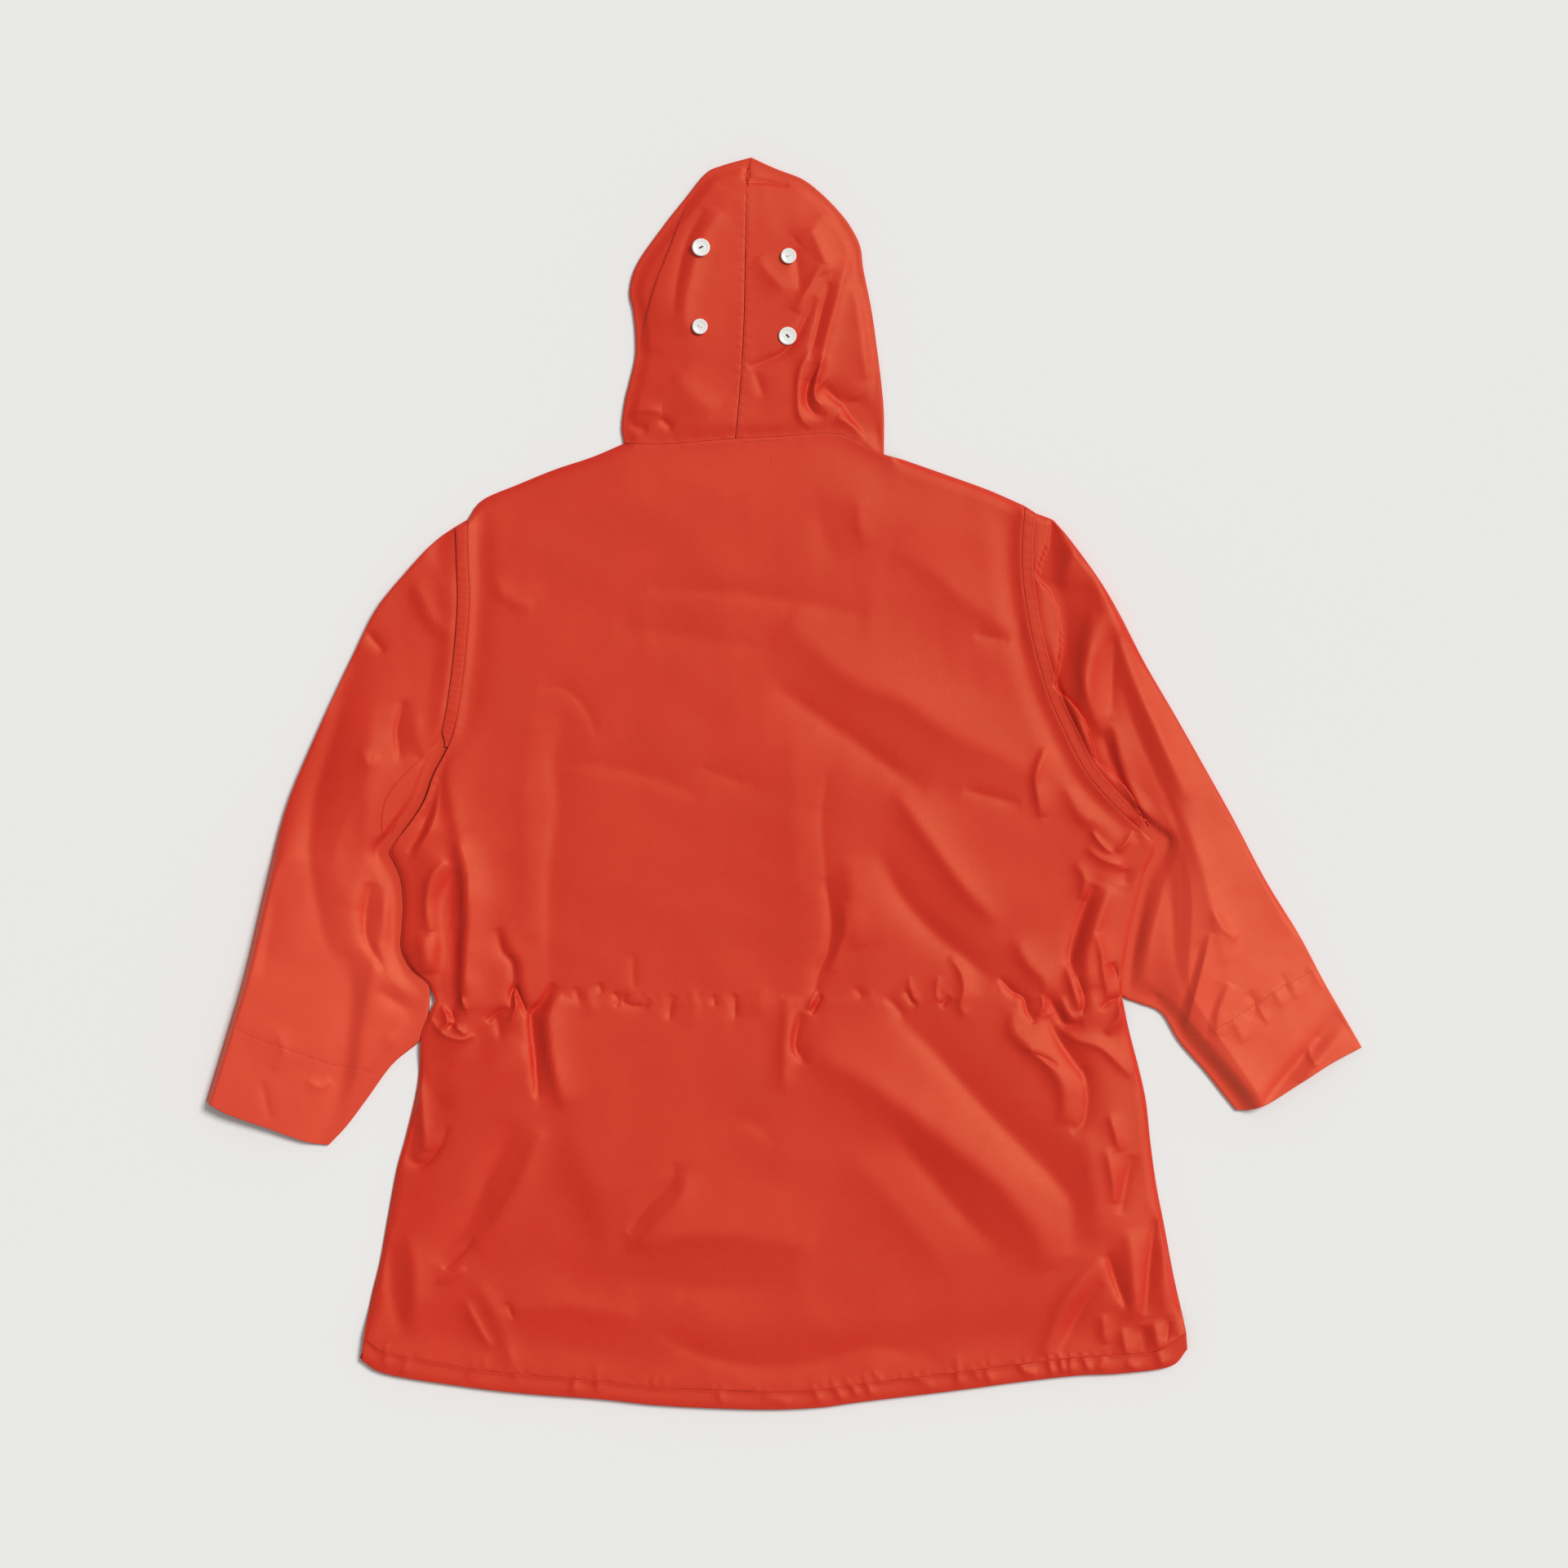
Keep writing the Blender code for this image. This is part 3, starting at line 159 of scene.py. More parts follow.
HOOD_SEAM = (
    (-43, 303), (-40, 333), (-38, 357), (-36, 389), (-35, 417), (-34, 470), (-33, 515), (-31, 538))
HOOD_TOP = (-29, 551)
HOOD_EDGE_LEFT = (
    (-141, 300), (-143, 315), (-140, 338), (-136, 354), (-131, 376), (-131, 398), (-133, 416),
    (-136, 434), (-129, 458), (-106, 491), (-87, 515), (-69, 537), (-54, 544), HOOD_TOP)
HOOD_EDGE_RIGHT = (
    (88, 291), (88, 325), (86, 350), (82, 382), (77, 417), (70, 452), (67, 473), (58, 491),
    (47, 505), (32, 520), (16, 532), (-7, 541), HOOD_TOP)

FRONT_NECKLINE = (
    (-137, 294), (-118, 295), (-92, 294), (-60, 268), (-20, 256), (25, 262), (58, 288), (86, 285),
    (100, 281))
FRONT_SHOULDER_LEFT = ((-276, 226), (-264, 244), (-202, 270), (-137, 294))
FRONT_SHOULDER_RIGHT = ((100, 281), (144, 265), (180, 252), (209, 238))
FRONT_ARMHOLE_LEFT = (
    (-276, 226), (-275, 193), (-274, 164), (-276, 128), (-281, 82), (-289, 40), (-301, 7),
    (-314, -19), (-329, -48))
FRONT_ARMHOLE_RIGHT = (
    (209, 238), (206, 203), (209, 163), (217, 121), (230, 77), (244, 45), (262, 6), (283, -21),
    (306, -45))
FRONT_SIDE_LEFT = (
    (-329, -48), (-328, -62), (-320, -77), (-307, -93), (-303, -108), (-303, -146), (-304, -170),
    (-303, -192))
FRONT_SIDE_RIGHT = (
    (306, -45), (306, -56), (298, -71), (286, -86), (281, -98), (279, -120), (278, -146),
    (279, -168), (284, -192))
FRONT_SKIRT_LEFT = (
    (-303, -192), (-306, -207), (-312, -232), (-318, -267), (-328, -311), (-344, -383),
    (-359, -455), (-366, -489))
FRONT_SKIRT_RIGHT = (
    (284, -192), (294, -214), (305, -250), (314, -281), (323, -354), (338, -433), (349, -484))
FRONT_STITCHING = (
    (-366, -489), (-349, -499), (-280, -512), (-161, -524), (-59, -531), (-8, -533), (70, -527),
    (153, -517), (258, -504), (328, -498), (349, -484))
FRONT_HEM = (
    (-374, -507), (-349, -519), (-280, -530), (-161, -541), (-59, -549), (-8, -550), (70, -543),
    (153, -533), (258, -520), (336, -513), (352, -499))

class Side(Enum):
    """Which side of the smock a piece is on, as seen from above."""
    LEFT = -1
    RIGHT = 1


@dataclass(frozen=True)
class Fold:
    """A crest, or a trough where its height is below zero, along a path.

    A lean above zero spreads the flank on the left of the run and steepens the other.
    """
    width: float
    height: float
    lean: float
    path: Points


@dataclass(frozen=True)
class Ledge:
    """A path that the cloth drops across, from its left to a hollow on its right."""
    path: Points
    height: float
    reach: float
    hollow: float = 0.0
    hollow_reach: float = 12.0


@dataclass(frozen=True)
class Seam:
    """A sewn line: a narrow groove, with the cloth beside it drawn into small puckers."""
    path: Points
    depth: float = 0.45
    width: float = 1.4
    pucker: float = 0.3
    pitch: float = 8.0
    reach: float = 6.0


def folds_of(rows: Sequence[Row]) -> tuple[Fold, ...]:
    """Turn rows of width, height, lean and then the x and y of each point into folds."""
    return tuple(Fold(row[0], row[1], row[2], tuple(zip(row[3::2], row[4::2]))) for row in rows)


BACK_FOLDS = folds_of((
    # left side, from the armhole to the waist
    (9, 2.6, 0.5, -289, 50, -297, 5, -290, -35, -283, -75),
    (9, 8.6, 0.5, -288, -50, -282, -75, -279, -110, -281, -150, -283, -200),
    (9, -9.0, 0.2, -289, -76, -299, -103, -297, -130, -297, -165, -294, -203),
    (11, 4.5, 0, -318, -133, -316, -150, -314, -168),
    (6, 3.2, 0.4, -298, -68, -311, -84, -315, -110, -312, -132),
    (4, -3.0, 0, -311, -17, -319, -42, -331, -62), (3.5, 1.8, 0, -303, 0, -309, -35, -325, -66),
    (8, 2.5, 0.5, -247, -125, -242, -145, -233, -158, -231, -180, -229, -195),
    (5, -2.5, 0.2, -253, -128, -248, -148, -239, -160, -238, -185),
    (13, -1.7, 0.5, -193, 60, -203, 20, -200, -20, -207, -80, -207, -150, -205, -175),
    (14, 0.9, 0.3, -222, 60, -228, 0, -226, -80, -224, -140),
    (9, 1.6, 0.6, -254, 178, -247, 163, -222, 153),
    (6, -0.8, 0.3, -215, 82, -195, 83, -180, 72, -170, 55, -165, 40),
    (9, -1.1, 0.4, -200, 18, -150, 12, -110, 2, -72, -14), (7, -0.7, 0, -75, 14, -45, 3, -22, -2),
    # left waist
    (5, -6.0, 0.5, -204, -176, -213, -193, -223, -205, -220, -240, -217, -278),
    (9, 5.4, 0.5, -198, -185, -208, -205, -206, -235, -201, -262, -194, -285),
    (3, 2.5, 0, -301, -196, -296, -210, -303, -218),
    (3, 2.5, 0, -292, -205, -288, -215, -279, -222),
    (2.6, -3.2, 0, -293, -200, -290, -212, -296, -214), (2.6, 2.0, 0, -284, -188, -278, -203),
    (3, -3.0, 0, -262, -210, -252, -202, -242, -198),
    (2.8, -4.0, 0, -241, -198, -240, -186, -236, -181, -232, -190, -225, -206),
    (2.6, 2.5, 0, -236, -188, -236, -198, -241, -210), (4, -2.0, 0.2, -253, -205, -250, -225),
    (12, -2.2, 0, -312, -250, -275, -232, -245, -208),
    (16, 2.8, 0, -300, -282, -262, -258, -228, -232),
    (3, 2.0, 0, -312, -206, -300, -221, -284, -226, -272, -222),
    # channel across the back
    (4, -1.5, 0, -184, -180, -179, -195), (3.5, -1.2, 0, -163, -176, -160, -186),
    (3.2, -1.8, 0.3, -150, -184, -146, -192, -149, -197),
    (3, -1.7, 0, -139, -186, -140, -194, -124, -197, -118, -190),
    (5, -1.0, 0, -133, -150, -132, -182), (3.5, -1.7, 0, -96, -187, -100, -196, -101, -209),
    (3.5, -1.2, 0, -62, -187, -61, -197), (3.5, -1.5, 0, -43, -186, -43, -208),
    (7, 0.8, 0, -172, -182, -170, -204), (8, 0.8, 0, -80, -182, -81, -215),
    (8, 1.0, 0, -20, -180, -22, -206), (4, -1.4, 0, 62, -180, 70, -190),
    (3.6, 1.2, 0, 110, -170, 112, -185, 118, -198), (3.6, 1.2, 0, 136, -170, 134, -186, 138, -193),
    (3, -2.2, 0, 146, -188, 138, -197), (3, -2.2, 0, 107, -182, 112, -192, 118, -197),
    (5, 2.6, 0.2, 146, -152, 156, -168, 158, -184, 155, -196, 160, -205),
    (5, -1.8, 0.3, 88, -188, 97, -196, 106, -207),
    # right waist
    (3.6, -3.2, 0.2, 189, -171, 200, -183, 211, -190, 214, -201, 221, -212),
    (9, 3.2, 0.3, 203, -138, 213, -158, 228, -174, 232, -190),
    (4.5, 3.2, 0.2, 249, -158, 253, -178, 260, -200), (3, -2.6, 0, 258, -170, 264, -190, 262, -205),
    (4, 2.5, 0, 243, -188, 250, -203, 258, -210),
    (4.5, -4.2, 0, 231, -186, 240, -202, 248, -213, 263, -212),
    (3, 2.2, 0, 222, -205, 228, -196, 226, -187),
    (6, 3.0, 0.3, 240, -213, 257, -226, 280, -234, 306, -259),
    (7, -5.0, 0.2, 232, -205, 243, -228, 256, -247, 268, -262),
    (9, 4.6, 0.45, 202, -200, 201, -218, 215, -233, 232, -248, 243, -265, 246, -285, 243, -298),
    (6, -3.0, 0.3, 262, -250, 267, -275, 263, -300, 252, -306),
    (2.6, -1.8, 0, 217, -237, 229, -242, 241, -249), (5, 2.5, 0.3, 286, -292, 292, -312, 296, -324),
    (4, 3.0, 0, 284, -221, 294, -208, 297, -193), (2.6, -2.2, 0, 278, -199, 287, -192, 297, -188),
    (6, -6.0, 0.2, 273, -90, 264, -112, 255, -140, 252, -158, 256, -172),
    (9, 5.2, 0, 287, -92, 277, -115, 268, -142, 266, -160, 270, -182),
    (3.5, 2.4, 0, 270, -42, 279, -54, 288, -62), (4, 2.4, 0, 266, -57, 279, -67, 298, -74),
    (3.5, 2.0, 0, 307, -42, 300, -54, 292, -60), (5, -2.0, 0, 300, -76, 301, -90),
    (6, 2.5, 0.3, 256, -70, 264, -85, 262, -103),
    (6, 3.4, 0.4, 274, -132, 279, -150, 281, -168, 286, -190), (3, -2.0, 0, 288, -158, 294, -173),
    (8, 2.0, 0.3, 248, -5, 256, -22, 268, -38),
    # right shoulder blade and the long diagonals
    (18, 2.2, 0.2, 95, 205, 125, 190, 148, 170, 175, 150, 205, 130),
    (24, 4.0, 0.2, 0, 142, 30, 115, 62, 90, 105, 72, 150, 42, 200, 18, 226, 5),
    (12, -2.6, 0, -8, 86, 25, 62, 60, 38, 98, 10, 125, -8),
    (13, 4.2, 0.2, 98, -8, 120, -40, 145, -75, 165, -100, 188, -124),
    (12, -3.8, 0, 84, -60, 100, -95, 130, -130, 165, -160, 186, -176),
    (18, 2.8, 0.4, 56, -66, 60, -110, 66, -146), (7, 3.6, 0.5, 230, 32, 221, 5, 226, -30),
    (7, -1.6, 0, 158, -6, 185, -13, 208, -19), (7, -1.4, 0, 168, 131, 198, 125),
    (11, 1.4, 0.3, 66, 250, 66, 228, 72, 208), (14, -1.0, 0, 30, 250, 36, 215, 50, 190),
    (9, -1.3, 0.3, -120, 170, -60, 168, 0, 160, 35, 154, 72, 145),
    (14, -1.2, 0.3, -150, 134, -100, 131, -50, 122, -6, 118),
    # spine
    (18, 1.2, 0, 8, 45, 9, 0, 10, -60, 20, -110),
    (6, -3.0, 0.3, 36, -84, 40, -110, 41, -130, 38, -150, 31, -165, 25, -190),
    (7, -1.0, 0.3, 38, 10, 33, -30, 35, -60, 38, -100),
    (6, 2.2, 0, 52, -105, 54, -130, 47, -150, 40, -166), (2.6, -3.0, 0, 33, -187, 24, -204),
    (2.4, 1.6, 0, 28, -184, 21, -199), (5, -4.0, 0.5, 14, -203, 9, -232, 19, -247),
    (8, 2.6, 0.2, 4, -188, 1, -230, -1, -272),
    # skirt
    (24, 6.0, 0.2, 20, -234, 70, -262, 110, -290, 150, -322, 190, -355, 222, -395, 228, -430),
    (15, -4.2, 0.3, 95, -200, 130, -235, 165, -275, 205, -318, 240, -352, 253, -375, 253, -415),
    (13, -2.6, 0, 92, -300, 128, -345, 165, -388, 192, -412),
    (20, 2.0, 0, 60, -330, 105, -380, 145, -430),
    (9, 3.6, -0.2, 228, -505, 245, -462, 262, -437, 281, -420),
    (6, -2.6, 0, 243, -503, 262, -463, 279, -440),
    (4.5, -4.0, 0.4, 284, -414, 292, -440, 301, -462),
    (8, 3.6, 0.2, 303, -395, 307, -440, 308, -472), (5, -3.2, 0.2, 326, -385, 321, -430, 318, -468),
    (8, 3.0, 0, 336, -398, 334, -440, 338, -472), (6, 2.5, 0.2, 283, -322, 289, -348, 291, -370),
    (6, -2.6, 0, 307, -328, 300, -355, 296, -380), (6, 2.6, 0.2, 280, -468, 282, -494),
    (5, 2.5, 0.2, 297, -480, 301, -506), (5, -2.5, 0, 316, -478, 314, -505),
    (7, 3.0, 0.2, 325, -474, 329, -500), (3, -2.0, 0, 339, -474, 337, -491),
    (16, 2.6, 0, 262, -300, 272, -350, 276, -400),
    (6, 3.4, 0.2, -320, -262, -318, -295, -316, -325),
    (3.6, -2.8, 0, -326, -300, -331, -328, -318, -336, -303, -320, -296, -302),
    (10, -3.0, 0, -236, -300, -262, -350, -277, -385, -306, -422),
    (13, 3.4, 0.3, -214, -305, -232, -350, -252, -385, -272, -412),
    (3, -1.8, 0, -273, -401, -286, -416, -300, -428),
    (4, 1.6, 0, -304, -440, -292, -434, -280, -427),
    (30, 2.8, 0.5, -196, -298, -178, -335, -165, -365, -158, -400, -159, -432),
    (9, 2.4, -0.2, -128, -408, -108, -384, -90, -364, -86, -344),
    (6, -1.8, 0, -138, -396, -118, -370, -99, -350, -96, -334),
    (8, -1.0, 0.3, -55, -308, -38, -298, -22, -303, -7, -318),
    (22, 3.2, 0.3, -140, -408, -70, -397, -10, -402, 26, -410),
    (18, -1.6, 0, -140, -440, -60, -446, 10, -436),
    (10, -2.0, 0.3, -112, -482, -75, -503, -20, -516, 30, -512, 75, -498, 110, -503, 135, -512),
    (16, 2.2, 0.2, -245, -464, -190, -461, -130, -469),
    (8, -2.6, 0.3, -347, -405, -345, -450, -338, -482),
    (8, 2.6, 0.2, -331, -398, -325, -440, -328, -482),
    (5, 2.0, -0.3, -280, -456, -268, -480, -257, -498),
    (9, 2.0, 0, -270, -440, -250, -478, -238, -520), (3, -1.4, 0, -244, -458, -238, -472),
))
HEM_PUCKERS = folds_of((
    (4, 1.3, 0.2, -348, -494, -352, -514), (5, 1.0, 0, -330, -505, -336, -520),
    (6, 1.1, 0.3, -262, -505, -280, -524), (5, 0.9, 0, -240, -500, -236, -528),
    (4, 1.2, 0.2, -184, -524, -186, -538), (5, 1.4, 0.3, -166, -508, -164, -536),
    (5, 0.8, 0, -120, -528, -100, -524), (4, 0.9, 0, -58, -534, -54, -546),
    (5, 1.0, 0.2, -20, -540, 6, -546), (5, 1.3, 0.3, 24, -530, 32, -546),
    (4, 1.4, 0.3, 40, -526, 52, -544), (4, 1.6, 0.3, 56, -524, 64, -540),
    (4, 1.5, 0.2, 68, -520, 78, -540), (3.4, 1.3, 0.2, 78, -516, 84, -528),
    (5, 1.0, 0, 110, -520, 132, -532), (4, 1.6, 0.2, 152, -503, 153, -530),
    (5, 1.2, 0.2, 164, -512, 172, -526), (4.5, 1.3, 0.3, 181, -506, 178, -518, 184, -530),
    (5, 2.0, 0.3, 206, -510, 212, -518, 222, -520), (3.2, 1.8, 0.2, 232, -505, 236, -522),
    (3, 2.0, 0.2, 242, -504, 246, -520), (3, 2.0, 0.2, 252, -502, 252, -520),
    (3.4, 1.8, 0.2, 262, -504, 270, -520), (5, 1.6, 0.2, 282, -505, 276, -518),
    (4.5, 1.7, 0, 300, -510, 312, -516), (5, 1.8, 0.2, 328, -500, 334, -514),
))
SLEEVE_FOLDS_LEFT = folds_of((
    (20, 2.6, 0, -354, -60, -350, -26, -338, -2, -318, 18),
    (9, 3.0, 0.3, -327, 179, -310, 143, -292, 128), (14, 1.8, 0, -316, 205, -304, 180, -299, 150),
    (4, -1.8, 0, -367, 133, -360, 124, -352, 115),
    (13, -3.0, 0, -372, 110, -388, 75, -397, 40, -412, -10, -416, -45, -416, -73, -403, -138,
     -385, -155),
    (20, 3.4, 0, -362, 70, -364, 20, -366, -22, -371, -73, -380, -110),
    (5, -2.6, 0.3, -335, 72, -341, 45, -338, 20), (8, 1.6, 0, -324, 60, -322, 38, -318, 24),
    (6, 1.2, 0, -372, 30, -364, 16, -356, 24),
    (8, 3.4, 0.2, -345, -80, -347, -91, -349, -123, -338, -167),
    (7, -4.2, 0.2, -364, -88, -368, -112, -367, -138, -350, -166),
    (5, 3.6, 0.2, -329, -108, -327, -125, -323, -147, -309, -175),
    (4.5, -3.2, 0.2, -337, -118, -335, -148, -318, -182),
    (15, -3.6, 0, -384, -148, -380, -195, -385, -239, -392, -282, -398, -316),
    (14, 3.2, 0.2, -356, -138, -364, -180, -371, -215, -375, -250, -384, -290),
    (9, -2.8, 0, -358, -182, -336, -196, -313, -206),
    (12, 2.0, 0, -352, -222, -340, -236, -352, -262),
    (7, 1.0, 0, -446, -218, -440, -236, -448, -252), (5, -1.0, 0, -459, -262, -452, -296),
    (9, -1.4, 0, -446, -100, -452, -130, -458, -170),
    (5, 1.0, 0, -420, -262, -408, -268, -398, -262),
))
CREASED_EDGE_LEFT = folds_of((
    (12, 2.8, 0, -300, 222, -310, 211, -338, 180, -359, 154, -377, 118),
    (13, 2.2, 0, -372, 128, -396, 78, -418, 29, -439, -23, -450, -65),
    (22, 1.0, 0, -418, 40, -439, -23, -457, -91, -475, -167, -491, -221, -509, -280, -528, -345),
))
SLEEVE_FOLDS_RIGHT = folds_of((
    (10, 5.6, 0.3, 272, 150, 266, 120, 263, 92, 270, 64, 280, 44),
    (11, 5.0, 0.3, 262, 226, 255, 205, 248, 184, 246, 172),
    (16, 6.6, 0, 283, 160, 278, 140, 270, 112, 264, 82, 260, 56, 257, 20),
    (6, -2.0, 0, 291, 128, 289, 95, 288, 60),
    (12, 5.6, 0, 270, 178, 287, 150, 300, 112, 313, 78, 329, 42, 344, 8, 354, -16),
    (9, -1.8, 0.2, 297, 88, 308, 52, 325, 12, 342, -24, 352, -60),
    (8, 5.2, 0.3, 289, 52, 296, 20, 304, -2, 314, -24, 320, -42),
    (6, -2.0, 0.2, 281, 44, 287, 22, 295, 0),
    (12, 3.0, 0, 340, -8, 353, -37, 367, -73, 378, -116, 389, -160),
    (6, 2.0, 0, 376, -112, 386, -128, 398, -138), (12, 1.8, 0, 420, -66, 432, -100, 446, -134),
    (8, 6.6, 0.5, 312, -62, 316, -86, 317, -116, 311, -150, 306, -186),
    (6, -4.0, 0, 303, -84, 304, -120, 301, -160, 298, -190),
    (8, -1.6, 0.2, 340, -84, 342, -116, 344, -150, 352, -186),
    (7, 3.2, 0.5, 374, -132, 369, -155, 364, -174, 353, -217, 349, -230),
    (5, -1.6, 0, 366, -140, 359, -168, 350, -196, 342, -214),
    (7, 2.0, 0.4, 392, -176, 382, -200, 380, -222), (6, -1.2, 0, 384, -176, 374, -204, 372, -226),
    (13, 3.0, 0.3, 352, -222, 366, -234, 389, -253, 421, -283, 432, -294),
    (9, -5.0, -0.3, 418, -292, 426, -277, 446, -253, 468, -228, 491, -203),
    (9, 2.8, 0, 455, -266, 474, -240, 494, -216), (4, 1.6, 0.3, 470, -224, 462, -236, 468, -250),
    (5, -1.6, 0.2, 408, -184, 414, -196, 410, -208),
    (5, 0.9, 0, 430, -182, 439, -197), (4, 0.8, 0.3, 416, -196, 426, -212),
    (6, 0.8, 0, 446, -174, 452, -190), (5, -0.9, 0, 438, -168, 444, -186),
    (6, 0.8, 0.2, 462, -160, 476, -182), (7, 1.2, 0.3, 394, -206, 404, -228),
    (4, -1.6, 0, 330, -186, 322, -196),
))
CREASED_EDGE_RIGHT = folds_of((
    (24, 4.6, 0, 228, 246, 238, 231, 256, 208, 273, 186, 290, 158, 304, 132),
))
HOOD_FOLDS = folds_of((
    (12, 3.2, -0.2, -55, 502, -72, 478, -82, 445, -88, 415, -84, 394),
    (6, -1.8, 0, -70, 505, -84, 478, -93, 445, -97, 412), (10, 2.0, 0, 12, 476, 26, 489, 44, 505),
    (9, 2.6, 0, 24, 488, 32, 468, 40, 448), (6, -1.6, 0.2, 10, 470, 12, 450, 14, 432),
    (9, 3.8, -0.3, 56, 462, 46, 425, 38, 395, 31, 368, 27, 352),
    (6, -3.0, 0.5, 40, 440, 33, 415, 27, 390, 22, 372), (16, 3.4, 0, 68, 440, 76, 400, 79, 356),
    (4, 2.2, 0.3, 27, 384, 15, 366, 12, 342, 14, 322, 24, 311, 36, 307),
    (3.6, -3.6, 0, 31, 368, 22, 352, 20, 336, 27, 325, 37, 323),
    (3.6, 3.4, 0.2, 35, 376, 28, 353, 27, 339, 34, 330),
    (6, -4.5, 0.3, 33, 350, 46, 338, 58, 330, 66, 318),
    (9, -8.0, 0.4, 56, 334, 66, 320, 76, 308, 90, 292), (5, 2.6, 0, 46, 322, 60, 314, 70, 302),
    (4.6, -2.6, 0.3, 27, 427, 19, 408, 10, 391, 0, 379, -15, 372, -32, 365),
    (6, 2.2, 0, 33, 456, 20, 432, 10, 414), (5, -1.2, 0, -26, 362, -18, 340),
    (5, 2.2, 0, -139, 321, -128, 328, -108, 327), (4, -2.8, 0, -137, 315, -128, 312, -120, 310),
    (4, -2.2, 0, -109, 321, -98, 311), (2.2, -2.6, 0, -32, 549, -33, 538, -33, 530),
    (3.2, -1.4, 0.5, -32, 528, -14, 528, 4, 525), (9, 1.8, 0, -24, 462, -12, 446, 2, 432),
    (14, 1.8, 0, -96, 360, -80, 340, -60, 326),
))
HOOD_LEDGE = Ledge(((-69, 537), (-84, 514), (-101, 470), (-112, 442), (-122, 408), (-128, 380)),
                   2.4, 30)
FLAP_LEDGE = Ledge(((-292, 44), (-310, 30), (-328, 13), (-349, -12), (-354, -37), (-350, -62)),
                   0.5, 30)
PUFF_LEDGE = Ledge(((322, -44), (306, -12), (291, 6), (276, 17), (270, 38), (265, 53), (252, 71),
                    (239, 85), (243, 114), (242, 146), (234, 168), (223, 182), (232, 212),
                    (236, 240)), 0.5, 12, 5.0, 9)
NECK_SEAM = Seam(NECK, 0.08, 1.5, 0.14, 17.0, 8.0)
NECK_TACKS = (((-36.5, 300), (-4, 302)), ((-11, 287), (-11, 276)), ((-68, 283), (-69, 277)),
              ((-7, 200), (-7, 195)))
HEM_STITCHES_DOWN = 3.2  # from the hem's seam
HOOD_STITCHES_ASIDE = 2.4  # from the hood's centre seam
WAIST_CORD = ((-304, -194), (-196, -191), (20, -190), (176, -185), (294, -191))


# ==== curves and heights
def smooth(points: Points, steps: int = 10) -> Array:
    """Draw a dense Catmull-Rom curve through points.

    Args:
        points: The places that the curve passes through.
        steps: How many places it has from each to the next.

    Returns:
        Rows of x and y.
    """
    knots = np.array(points, float)
    held = np.vstack((2 * knots[0] - knots[1], knots, 2 * knots[-1] - knots[-2]))
    t = np.linspace(0, 1, steps, endpoint=False)[:, None]
    spans = [b + 0.5 * t * (c - a + t * (2 * a - 5 * b + 4 * c - d + t * (3 * (b - c) + d - a)))
             for a, b, c, d in zip(held, held[1:], held[2:], held[3:])]
    return np.vstack(spans + [knots[-1:]])


def trace(*arcs: tuple[float, Points]) -> Curve:
    """Join arcs into one edge.

    Args:
        arcs: For each arc, the share of the whole edge at its end, and its points.

    Returns:
        A function from shares of the edge to places on it.
    """
    shares, path, start = [], [], 0.0
    for end, points in arcs:
        curve = smooth(points)
        steps = np.linalg.norm(np.diff(curve, axis=0), axis=1)
        along = np.concatenate(([0.0], np.cumsum(steps))) / steps.sum()
        shares.append(start + (end - start) * along)
        path.append(curve)
        start = end
    marks, places = np.concatenate(shares), np.vstack(path)

    def at(share: Array) -> Array:
        """Return the places at shares of the edge."""
        return np.stack([np.interp(share, marks, places[:, k]) for k in (0, 1)], axis=-1)
    return at


def across(edge: Curve, share: Array) -> Array:
    """Find the direction to the left of an edge's run.

    Args:
        edge: The edge.
        share: Shares of it.

    Returns:
        A unit vector for each share.
    """
    step = 0.004
    run = edge(np.clip(share + step, 0, 1)) - edge(np.clip(share - step, 0, 1))
    left = np.stack((-run[:, 1], run[:, 0]), axis=-1)
    return left / np.linalg.norm(left, axis=1, keepdims=True)


def patch(low: Curve, high: Curve, left: Curve, right: Curve) -> Shape:
    """Fill four edges with a Coons patch.

    Args:
        low: The edge at v = 0, run by u.
        high: The edge at v = 1, run by u.
        left: The edge at u = 0, run by v.
        right: The edge at u = 1, run by v.

    Returns:
        A function from shares u and v to places.
    """
    corner = [np.ravel(edge(end)) for edge in (low, high) for end in (0.0, 1.0)]

    def at(u: Array, v: Array) -> Array:
        """Find places on the patch.

        Args:
            u, v: Shares across and along.

        Returns:
            Rows of x and y.
        """
        a, b = u[:, None], v[:, None]
        ruled = (1 - b) * low(u) + b * high(u) + (1 - a) * left(v) + a * right(v)
        twice = ((1 - a) * (1 - b) * corner[0] + a * (1 - b) * corner[1]
                 + (1 - a) * b * corner[2] + a * b * corner[3])
        return ruled - twice
    return at


